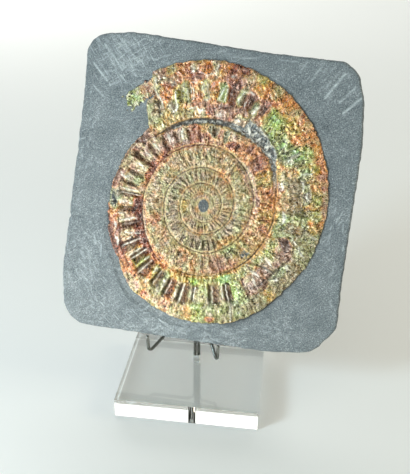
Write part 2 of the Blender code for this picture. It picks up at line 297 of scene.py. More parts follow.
def uneven(angle, stretch, shift):
    """How far the coil is pressed oval and pushed aside at an angle, as a share of its radius."""
    wave = stretch[0] * np.cos(2.0 * np.radians(angle - stretch[1]))
    return wave + shift[0] * np.cos(np.radians(angle - shift[1]))


def groove_radius(angle):
    """Radius of the seam on the inner side of the whorl at this angle."""
    turns = angle / 360.0
    law = GROOVE_GROWTH * turns - GROOVE_SLOWING * turns**3 + uneven(angle, GROOVE_STRETCH, GROOVE_SHIFT)
    radius = GROOVE_AT_ZERO * np.exp(law)
    wander = 0.35 * rough(angle * 0.35, 0.0 * angle, 5.0, 35) * np.clip(radius / 25.0, 0.2, 1.0)
    return radius + wander + swells_at(angle, GROOVE_SWELLS)


def rim_radius(rim_angle):
    """Radius of the shell's ragged rim; past the break it falls away in two steps."""
    turns = rim_angle / 360.0
    law = RIM_GROWTH * turns + RIM_QUICKENING * turns**2 + uneven(rim_angle, RIM_STRETCH, RIM_SHIFT)
    full = RIM_AT_ZERO * np.exp(law) + swells_at(rim_angle, RIM_SWELLS)
    ragged = 0.5 * rough(rim_angle * 0.9, 0.0 * rim_angle, 5.0, 31)
    ragged = ragged + 0.4 * rough(rim_angle, 0.0 * rim_angle, 2.2, 33)
    first_fall, second_fall = MOUTH_FALLS
    broken = full - first_fall * ease(rim_angle, MOUTH_BREAK - 1.0, MOUTH_BREAK + 2.5)
    broken = broken - second_fall * ease(rim_angle, MOUTH_BREAK + 6.0, MOUTH_TIP + 1.0)
    begun = ease(rim_angle, RIM_START, RIM_START + 8.0)
    not_ended = ease(-rim_angle, -MOUTH_TIP, -MOUTH_TIP + 4)
    return broken + ragged * begun * not_ended


def outer_radius(angle):
    """Radius of the outer side of the whorl: the next seam, or the rim on the last turn."""
    rim_angle = angle - OUTER_TURN_START
    return np.where(rim_angle > RIM_START, rim_radius(rim_angle), groove_radius(angle + 360.0))


def ribs_before(rim_angle):
    """How many ribs lie before this angle; a whole number is the bottom of a furrow."""
    last_whorl = np.maximum(rim_angle, RIM_START)
    count = RIBS_AT_ZERO + RIBS_PER_DEGREE * last_whorl + RIB_CROWDING * last_whorl**2
    return count + INNER_RIBS_PER_DEGREE * np.minimum(0.0, rim_angle - RIM_START)


def relief_scale(radius):
    """Relief is lower on the smaller whorls."""
    return np.minimum(1.0, radius / FULL_RELIEF_RADIUS) ** 0.6


# Regular furrows: rim angle, share across the whorl where they start, share where they end, depth
FURROW_REACH = np.array((
    (-1500.0, 0.10, 0.85, 0.45),
    (-950.0, 0.10, 0.85, 0.38),
    (-600.0, 0.10, 0.85, 0.15),
    (-500.0, 0.12, 0.85, 0.14),
    (-470.0, 0.12, 0.85, 0.40),
    (-420.0, 0.12, 0.85, 0.40),
    (-390.0, 0.12, 0.80, 0.14),
    (-268.0, 0.12, 0.80, 0.14),
    (-258.0, 0.12, 0.72, 0.0),
    (-64.0, 0.22, 0.70, 0.0),
    (-55.0, 0.20, 0.62, 0.35),
    (-20.0, 0.15, 0.70, 0.35),
    (40.0, 0.15, 0.70, 0.35),
    (58.0, 0.25, 0.60, 0.0),
    (131.0, 0.30, 0.50, 0.0),
)).T

# Placed furrows: angle and half angle, inner and outer radius, how dark the painted shade on the near wall
# is, how brown the rest is, and how strong the pale fold between them is, which also carries a painted
# highlight
FURROWS = (
    # third whorl, bottom
    (243.0, 2.6, 17.2, 23.0, 0.6, 0.5, 0.0),
    (251.3, 2.4, 17.0, 23.2, 0.6, 0.6, 0.0),
    (259.8, 2.6, 17.0, 23.4, 0.7, 0.5, 0.0),
    (267.6, 2.3, 17.2, 23.4, 0.6, 0.6, 0.0),
    (276.0, 2.6, 17.2, 23.6, 0.7, 0.6, 0.0),
    (284.0, 2.3, 17.6, 23.6, 0.6, 0.5, 0.0),
    (292.0, 2.3, 18.0, 23.6, 0.5, 0.4, 0.0),
    # last whorl, top
    (62.8, 1.7, 54.0, 60.5, 0.6, 0.6, 0.0),
    (69.6, 2.0, 53.5, 61.0, 0.6, 0.7, 0.0),
    (73.6, 1.3, 54.5, 60.5, 0.8, 0.8, 0.0),
    (79.0, 1.9, 52.0, 62.5, 0.5, 0.7, 0.0),
    (81.4, 0.9, 54.5, 61.5, 0.7, 0.3, 0.0),
    (87.0, 0.7, 54.5, 60.5, 0.5, 0.2, 0.0),
    (91.6, 0.8, 54.5, 62.5, 0.6, 0.2, 0.4),
    (95.9, 0.8, 54.0, 62.0, 0.4, 0.2, 0.6),
    (101.2, 0.8, 53.5, 62.5, 0.6, 0.2, 0.5),
    (106.4, 1.5, 53.0, 62.0, 0.6, 0.5, 0.2),
    (111.4, 1.6, 51.5, 56.5, 0.3, 0.3, 0.0),
    # second whorl
    (352.7, 0.9, 29.6, 35.0, 0.8, 0.4, 0.0),
    (8.3, 0.8, 29.5, 33.5, 0.6, 0.4, 0.0),
    (17.2, 1.1, 31.0, 35.5, 0.9, 0.6, 0.0),
    (24.6, 1.2, 29.2, 35.0, 0.5, 0.9, 0.0),
    (34.6, 1.2, 31.5, 37.5, 0.5, 0.8, 0.0),
    (46.0, 1.4, 31.5, 38.5, 0.4, 0.8, 0.0),
    (54.6, 1.2, 35.5, 40.5, 0.7, 0.5, 0.0),
    (64.0, 1.3, 32.5, 37.0, 0.5, 0.6, 0.0),
    (77.0, 1.2, 31.5, 36.0, 0.4, 0.6, 0.0),
    (85.8, 1.6, 36.2, 40.4, 0.5, 0.4, 0.0),
    (89.8, 0.9, 31.2, 35.5, 0.4, 0.6, 0.0),
    (97.6, 1.2, 34.0, 40.8, 0.7, 0.5, 0.0),
    (106.0, 1.9, 33.0, 41.2, 0.4, 0.8, 0.0),
    (115.8, 2.2, 33.5, 41.2, 0.4, 0.7, 0.3),
    (126.6, 2.0, 32.5, 42.8, 0.6, 0.8, 0.0),
    # last whorl, left and bottom
    (137.6, 1.7, 33.5, 42.8, 0.6, 0.7, 0.0),
    (147.9, 2.2, 33.0, 46.8, 0.8, 0.9, 0.0),
    (159.8, 1.6, 34.0, 44.8, 0.8, 0.6, 0.0),
    (168.4, 2.0, 36.5, 45.5, 0.4, 0.8, 0.0),
    (176.8, 2.2, 33.0, 45.0, 0.9, 0.7, 0.7),
    (187.8, 2.2, 34.5, 45.8, 0.9, 0.8, 0.0),
    (199.6, 2.9, 35.0, 46.0, 0.8, 0.9, 0.2),
    (213.0, 3.8, 37.5, 49.6, 0.9, 0.8, 0.7),
    (223.0, 3.8, 37.5, 48.4, 1.0, 0.9, 0.9),
    (232.4, 4.4, 39.0, 51.2, 1.0, 0.9, 0.5),
    (243.2, 3.3, 39.5, 51.0, 0.9, 0.8, 0.3),
    (252.8, 3.5, 41.3, 52.2, 1.0, 0.9, 0.7),
    (262.3, 4.1, 41.8, 53.4, 1.0, 0.9, 1.0),
    (269.9, 2.4, 42.0, 51.0, 0.9, 0.4, 1.0),
    (282.3, 4.2, 41.2, 52.0, 0.8, 0.9, 0.4),
    (291.6, 2.9, 41.2, 51.8, 0.9, 0.9, 0.8),
)


def furrow_at(rim_angle, share):
    """Regular furrows: how far each point is in one, on a ridge and on a lip, 0 to 1, and their depth."""
    wobble = 0.3 * rough(rim_angle, share * 8.0, 7.0, 41, 2)
    ribs = ribs_before(rim_angle - RIB_LEAN_DEG * share) + wobble
    number = np.round(ribs)
    aside, early, late, wide, deep = (LATTICE[number.astype(int) % 256, k] for k in range(5))
    off_middle = np.abs(ribs - number - 0.14 * (aside - 0.5))
    stations, starts, stops, depths = FURROW_REACH
    start = np.interp(rim_angle, stations, starts) + 0.08 * (early - 0.5)
    stop = np.interp(rim_angle, stations, stops) + 0.12 * (late - 0.5)
    depth = np.interp(rim_angle, stations, depths) * (0.6 + 0.8 * deep)
    half_width = 0.27 * (0.75 + 0.5 * wide)
    along = np.abs(share - (start + stop) / 2.0) / ((stop - start) / 2.0)
    spread = (off_middle / half_width) ** 2 + along**4
    furrow = fade(spread, 0.35, 1.10)
    lip = bump_at(spread, 0.95, 0.22)
    ridge = ease(off_middle, 0.28, 0.5) * fade(along, 0.7, 1.15)
    return furrow, ridge, lip, depth


def placed_furrows(angle, radius, x, y):
    """The placed furrows: depth in millimetres, painted shade on the near wall, brown floor and pale fold at
    each point; the fold also serves as a painted highlight.
    """
    depth, wall, floor, fold = (np.zeros(x.shape) for _ in range(4))
    ragged = rough(x, y, 2.2, 43)
    for middle, half_angle, inner, outer, dark, brown, folded in FURROWS:
        along = (radius - (inner + outer) / 2.0) / ((outer - inner) / 2.0)
        across = turn_from(angle, middle) / half_angle + 0.12 * along + 0.4 / half_angle * ragged
        within = fade(np.abs(across), 0.8, 1.08) * fade(np.abs(along) + 0.12 * ragged, 0.66, 1.1)
        near = fade(across, -0.50, -0.24)
        crease = folded * within * bump_at(across, -0.30, 0.12)
        deep = np.interp(across, (-1.05, -0.68, -0.4, 1.0), (0.1, 1.0, 0.85, 0.2))
        depth = np.maximum(depth, within * deep * (0.75 + 0.22 * half_angle) - 0.6 * crease)
        # painted shade on the near wall, the side turned from the light
        wall = np.maximum(wall, within * near * dark * (1.0 - crease))
        paler = 1.0 - 0.4 * ease(across, 0.3, 1.0)
        floor = np.maximum(floor, within * (1.0 - near) * brown * paler * (1.0 - crease))
        fold = np.maximum(fold, crease)
    return np.minimum(depth, DEEPEST_FURROW) * relief_scale(radius), wall, floor, fold


# ---------------------------------------------------------------- finishes
class Thread:
    """A value on its way through a finish. Arithmetic on it adds Math nodes."""

    def __init__(self, finish, socket):
        self.finish = finish
        self.socket = socket

    def maths(self, operation, *values):
        return self.finish.node("ShaderNodeMath", {"operation": operation}, dict(enumerate(values)))

    def __add__(self, other):
        return self.maths("ADD", self, other)

    def __sub__(self, other):
        return self.maths("SUBTRACT", self, other)

    def __rsub__(self, other):
        return self.maths("SUBTRACT", other, self)

    def __mul__(self, other):
        return self.maths("MULTIPLY", self, other)

    __radd__ = __add__
    __rmul__ = __mul__

    def other(self, name):
        """Another output of the same node."""
        return Thread(self.finish, self.socket.node.outputs[name])

    def wrapped(self):
        """Climbs from 0 to 1 and drops back, once for each whole number passed."""
        return self.maths("FRACT", self)

    def between(self, low, high):
        """0 below low, 1 above high, and eased between them."""
        sockets = {"Value": self, "From Min": low, "From Max": high}
        return self.finish.node("ShaderNodeMapRange", {"interpolation_type": "SMOOTHSTEP"}, sockets)


class Finish:
    """A material in the making, with one Principled shader."""

    def __init__(self, name):
        self.material = bpy.data.materials.new(name)
        self.material.use_nodes = True
        self.tree = self.material.node_tree
        self.tree.nodes.clear()

    def node(self, kind, settings=None, sockets=None, out=0):
        """Adds a node: its settings first, then the values or links of its sockets."""
        made = self.tree.nodes.new(kind)
        for name, value in (settings or {}).items():
            if name == "stops":
                ramp = made.color_ramp
                while len(ramp.elements) < len(value):
                    ramp.elements.new(0.5)
                for element, (place, colour) in zip(ramp.elements, value):
                    element.position = place
                    element.color = colour
            else:
                setattr(made, name, value)
        for name, value in (sockets or {}).items():
            if isinstance(value, Thread):
                self.tree.links.new(value.socket, made.inputs[name])
            else:
                made.inputs[name].default_value = value
        return Thread(self, made.outputs[out]) if len(made.outputs) else None

    def painted(self, *names):
        """Values that are painted at the mesh's points."""
        return [self.node("ShaderNodeAttribute", {"attribute_name": name}, out=2) for name in names]

    def flat_place(self):
        """Place on the flat piece, in millimetres."""
        place = self.node("ShaderNodeTexCoord", out=3)
        return self.node("ShaderNodeVectorMath", {"operation": "SCALE"}, {0: place, "Scale": 1.0 / MM})

    def stretched(self, place, lengths, turn_deg=0.0):
        """A place on which features come out longer by these factors, along axes turned by an angle."""
        sockets = {"Vector": place, "Scale": lengths, "Rotation": (0.0, 0.0, math.radians(turn_deg))}
        return self.node("ShaderNodeMapping", {"vector_type": "TEXTURE"}, sockets)

    def shifted(self, place, colour, reach):
        """A place moved about by a noise's colour."""
        sockets = {0: colour, 1: (reach, reach, reach), 2: place}
        return self.node("ShaderNodeVectorMath", {"operation": "MULTIPLY_ADD"}, sockets)

    def grain(self, place, size, detail, roughness=0.55, distortion=0.0):
        """Noise from 0 to 1 with features of the given size."""
        sockets = {
            "Vector": place,
            "Scale": 1.0 / size,
            "Detail": detail,
            "Roughness": roughness,
            "Distortion": distortion,
        }
        return self.node("ShaderNodeTexNoise", None, sockets)

    def ramp(self, value, stops):
        """A colour for each value, from stops of value and colour."""
        return self.node("ShaderNodeValToRGB", {"stops": stops}, {"Fac": value})

    def mix(self, factor, first, second, blend="MIX"):
        """The first colour at 0 and its blend with the second at 1."""
        settings = {"data_type": "RGBA", "blend_type": blend}
        return self.node("ShaderNodeMix", settings, {0: factor, 6: first, 7: second}, out=2)

    def bump(self, height, distance, strength):
        """Small relief in the light only, up to a distance in millimetres."""
        sockets = {"Height": height, "Distance": distance * MM, "Strength": strength}
        return self.node("ShaderNodeBump", None, sockets)

    def shade(self, **sockets):
        """Closes the finish with its Principled shader."""
        named = {name.replace("_", " "): value for name, value in sockets.items()}
        surface = self.node("ShaderNodeBsdfPrincipled", None, named)
        self.node("ShaderNodeOutputMaterial", None, {"Surface": surface})
        return self.material


def shale_colour(finish, place):
    """Blue-grey shale with fine pale and dark grain: its colour and its depth."""
    broad = finish.grain(place, 14.0, 3.0)
    fine = finish.grain(place, 0.6, 2.0, 0.6)
    streaks = finish.grain(finish.stretched(place, (3.3, 1.0, 1.0), 38.0), 1.6, 3.0, 0.65)
    depth = broad * 0.2 + fine * 0.65 + streaks * 0.15
    stops = (
        (0.32, tone(50, 57, 61)),
        (0.46, tone(104, 113, 117)),
        (0.54, tone(118, 127, 130)),
        (0.68, tone(184, 190, 190)),
    )
    return finish.ramp(depth, stops), depth


def strokes(finish, place, direction_deg, length):
    """Fine scratches in one direction, 0 to 1."""
    drawn = finish.grain(finish.stretched(place, (length, 0.8, 1.0), direction_deg), 1.0, 2.0, 0.5)
    return drawn.between(0.56, 0.70)


def shale_finish():
    """Shale with pale tool scratches, hatched and combed corners, dark stains, and painted shadow and shade
    along the shell's rim.
    """
    finish = Finish("blue_grey_shale")
    place = finish.flat_place()
    colour, depth = shale_colour(finish, place)
    scratch, hatched, combed, stain = finish.painted("scratch", "hatched", "combed", "stain")
    crumbs = finish.grain(place, 0.5, 2.0, 0.6)
    drawn = hatched * (strokes(finish, place, -54.0, 9.0) + strokes(finish, place, 33.0, 7.0))
    drawn = drawn + combed * strokes(finish, place, -40.0, 6.0)
    chalky = (scratch * 1.3 + drawn * 0.45) * crumbs.between(0.2, 0.5)
    colour = finish.mix(chalky * 0.75, colour, tone(205, 215, 217))
    # dark stains, and painted shadow and shade along the shell's rim
    colour = finish.mix(stain * 0.85, colour, tone(56, 62, 66))
    bumps = depth * 0.5 + crumbs * 0.3 - scratch * 0.25 - drawn * 0.2
    return finish.shade(
        Base_Color=colour,
        Roughness=0.78 - depth * 0.25,
        Specular_IOR_Level=0.45,
        Normal=finish.bump(bumps, 0.45, 0.8),
    )


def torn_layers(finish, place, size, steps):
    """Edges of thin layers torn back one under another: a painted highlight on the lit edge and painted shade
    at its foot, 0 to 1.
    """
    climb = (finish.grain(place, size, 2.0, 0.5, 0.4) * steps).wrapped()
    return climb.between(0.74, 0.97), 1.0 - climb.between(0.02, 0.24)


def nacre_finish():
    """Iridescent shell with torn layers, brown furrows, dark seams and cracks, and bare matrix, with painted
    highlights and painted shade in its colour.
    """
    finish = Finish("iridescent_nacre")
    place = finish.flat_place()
    coil = finish.node("ShaderNodeAttribute", {"attribute_name": "coil"}, out=1)
    play, pale, dull, furrow = finish.painted("play", "pale", "dull", "furrow")
    bare, crack, hollow, glint = finish.painted("bare", "crack", "hollow", "glint")
    from_seam, edge_light = finish.painted("from_seam", "edge_light")
    ribbed, crisp, calm = finish.painted("ribbed", "crisp", "calm")

    # crumpled layers: which way they drift, their growth lines, grains and torn edges
    drift = finish.grain(place, 4.0, 2.0, 0.5)
    growth = finish.grain(finish.stretched(coil, (1.0, 3.3, 1.0)), 1.4, 3.0, 0.6, 0.3)
    crumpled = finish.shifted(place, finish.grain(place, 2.4, 2.0).other("Color"), 2.2)
    speck = finish.grain(finish.stretched(crumpled, (0.8, 2.6, 1.0), 25.0), 0.65, 2.0, 0.6)
    layer_lit, layer_shade = torn_layers(finish, crumpled, 6.0, 9.0)
    flake_lit, flake_shade = torn_layers(finish, finish.shifted(place, drift.other("Color"), 3.0), 2.0, 5.0)
    curls = finish.shifted(finish.stretched(coil, (1.0, 2.2, 1.0)), drift.other("Color"), 2.0)
    curl_lit, curl_shade = torn_layers(finish, curls, 2.4, 4.0)

    # the play of colour, dulled, bloomed over and browned in the furrows
    colour = finish.ramp(play + (drift - 0.5) * 0.34 + layer_lit * 0.05, RAINBOW)
    muted = finish.mix(drift, tone(98, 88, 72), tone(146, 130, 126))
    colour = finish.mix(dull * 0.75, colour, muted)
    bloom = finish.mix(drift.between(0.4, 0.62), tone(208, 178, 160), tone(200, 196, 150))
    colour = finish.mix((pale + (growth - 0.5) * 0.8).between(0.2, 1.0) * 0.75, colour, bloom)
    brown = finish.mix(drift.between(0.4, 0.6), tone(80, 44, 24), tone(124, 72, 34))
    colour = finish.mix(furrow * 0.9, colour, brown)

    # painted highlights where light would catch the relief and painted shade where it would be shaded, mixed
    # with random light and dark grain
    torn = (layer_lit - layer_shade) * 1.05 + (flake_lit - flake_shade) * 0.9 + (curl_lit - curl_shade) * 0.9
    painted_light_and_grain = glint * 0.35 - hollow * 0.5 + (speck - 0.5) * (crisp * 2.0 + 0.9)
    painted_light_and_grain = painted_light_and_grain + (growth - 0.5) * (ribbed * 1.3 + crisp * 0.9 + 0.6)
    painted_light_and_grain = (painted_light_and_grain + torn * (1.0 - ribbed * 0.5) - furrow * 0.3) * (1.0 - calm * 0.7)
    # painted highlights added to the colour
    colour = finish.mix(painted_light_and_grain.between(0.06, 0.82) * 0.62, colour, tone(212, 206, 194), "ADD")
    # painted shade, where the painted light falls below zero, multiplied into the colour
    deep = (0.0 - painted_light_and_grain).between(0.0, 0.56)
    colour = finish.mix(deep * 0.95, colour, tone(62, 46, 36), "MULTIPLY")

    # bare matrix, with shell crumbs and painted shade of its own
    matrix_colour, _ = shale_colour(finish, place)
    crumbs = (painted_light_and_grain + (growth - 0.5) * (2.6 - crisp * 2.3)).between(0.25, 0.75)
    rocky = finish.mix(crumbs * 0.95, matrix_colour, tone(236, 232, 218))
    rocky = finish.mix(deep, rocky, tone(40, 36, 32))
    colour = finish.mix(bare, colour, rocky)

    # lips beside the seams, then seams, cracks with the painted shade of the furrows, and painted highlights
    # on the lit edges
    seam = 1.0 - from_seam.between(0.05, 0.38)
    seam = seam * (drift.between(0.40, 0.6) * 0.85 + 0.08)
    lip = from_seam.between(0.35, 0.6) * (1.0 - from_seam.between(0.8, 1.3)) * (1.0 - bare)
    lip_colour = finish.mix(crisp * drift.between(0.35, 0.5), tone(234, 172, 96), tone(230, 212, 158))
    colour = finish.mix(lip * (1.0 - ribbed) * 0.55, colour, lip_colour)
    colour = finish.mix(seam, colour, tone(104, 68, 28))
    # cracks, painted shade on the furrows' near walls, and a darker line along their lips
    colour = finish.mix(crack * 0.9, colour, tone(44, 36, 31))
    colour = finish.mix(edge_light * speck.between(0.05, 0.35), colour, tone(255, 250, 236))

    bumps = growth * 0.4 + speck * 0.25 + layer_lit * 0.4 + flake_lit * 0.3 + curl_lit * 0.25 - seam * 0.5
    return finish.shade(
        Base_Color=colour,
        Roughness=0.16 + speck * 0.2 + bare * 0.35 + dull * 0.12,
        Metallic=0.3 - bare * 0.3,
        Specular_IOR_Level=0.5,
        Coat_Weight=(0.5 - bare * 0.5) * (1.0 - furrow) * (1.0 - crack),
        Coat_Roughness=0.08,
        Normal=finish.bump(bumps, 0.4, 1.0),
    )


def acrylic_finish():
    """Clear cast acrylic with polished faces."""
    finish = Finish("cast_clear_acrylic")
    return finish.shade(
        Base_Color=(0.99, 1.0, 0.985, 1.0),
        Roughness=0.015,
        IOR=1.49,
        Transmission_Weight=1.0,
    )


def wire_finish():
    """Bright drawn steel, with faint streaks along the wire."""
    finish = Finish("polished_wire")
    drawn = finish.grain(finish.stretched(finish.flat_place(), (0.25, 0.25, 2.5)), 1.0, 3.0)
    return finish.shade(
        Base_Color=finish.ramp(drawn, ((0.3, tone(84, 86, 80)), (0.7, tone(172, 172, 166)))),
        Metallic=1.0,
        Roughness=0.05 + drawn * 0.08,
    )


# ---------------------------------------------------------------- mesh helpers
def solid(name, points, faces, painted, finish, smooth=True):
    """A mesh piece from points in millimetres, with painted values at its points."""
    mesh = bpy.data.meshes.new(name)
    mesh.from_pydata((points * MM).tolist(), [], faces)
    for title, values in painted.items():
        if values.ndim == 1:
            layer = mesh.attributes.new(title, "FLOAT", "POINT")
            layer.data.foreach_set("value", values.astype(np.float32))
        else:
            layer = mesh.attributes.new(title, "FLOAT_VECTOR", "POINT")
            layer.data.foreach_set("vector", values.astype(np.float32).ravel())
    if smooth:
        mesh.shade_smooth()
    mesh.materials.append(finish)
    made = bpy.data.objects.new(name, mesh)
    bpy.context.scene.collection.objects.link(made)
    return made


class Skin:
    """A flat piece's surface in the making: points in millimetres, their painted values, and faces."""

    def __init__(self):
        self.points = []
        self.painted = []
        self.faces = []
        self.total = 0

    def add(self, points, painted):
        """Adds points with their painted values, and gives their numbers."""
        first = self.total
        self.points.append(points)
        self.painted.append(painted)
        self.total += len(points)
        return range(first, self.total)

    def fill(self, inner, outer):
        """Quads between two closed rings of as many points."""
        after = [*range(1, len(inner)), 0]
        self.faces += [(inner[i], outer[i], outer[j], inner[j]) for i, j in enumerate(after)]

    def cap(self, centre, ring, from_below=False):
        """Triangles between a middle point and a closed ring."""
        pairs = zip(ring, [*ring[1:], ring[0]])
        self.faces += [(centre, b, a) if from_below else (centre, a, b) for a, b in pairs]

    def leaned_back(self, name, finish):
        """The finished piece, on the slab's foot and leaned on the stand."""
        painted = {title: np.concatenate([part[title] for part in self.painted]) for title in self.painted[0]}
        piece = solid(name, np.concatenate(self.points), self.faces, painted, finish)
        piece.location = Vector(SLAB_FOOT) * MM
        piece.rotation_euler = (math.radians(90.0 - LEAN_DEG), 0.0, 0.0)
        return piece


def row_faces(near, far):
    """Faces between two rows that may have different numbers of points."""
    if len(near) == len(far):
        return [(near[k], near[k + 1], far[k + 1], far[k]) for k in range(len(near) - 1)]
    faces = []
    i = 0
    j = 0
    while i < len(near) - 1 or j < len(far) - 1:
        near_share = (i + 1) / (len(near) - 1) if i < len(near) - 1 else 2.0
        far_share = (j + 1) / (len(far) - 1) if j < len(far) - 1 else 2.0
        if near_share < far_share:
            faces.append((near[i], near[i + 1], far[j]))
            i += 1
        else:
            faces.append((near[i], far[j + 1], far[j]))
            j += 1
    return faces


def polar_point(angle, radius):
    """x and y of a place given by its angle and radius around the coil's centre."""
    where = np.radians(angle)
    return COIL_CENTRE[0] + radius * np.cos(where), COIL_CENTRE[1] + radius * np.sin(where)


def coil_place(angle, radius):
    """A place on the unrolled coil: along the whorls and out across them."""
    return np.stack((np.radians(angle) * 60.0, np.log(radius) * 60.0, 0.0 * radius), axis=-1)


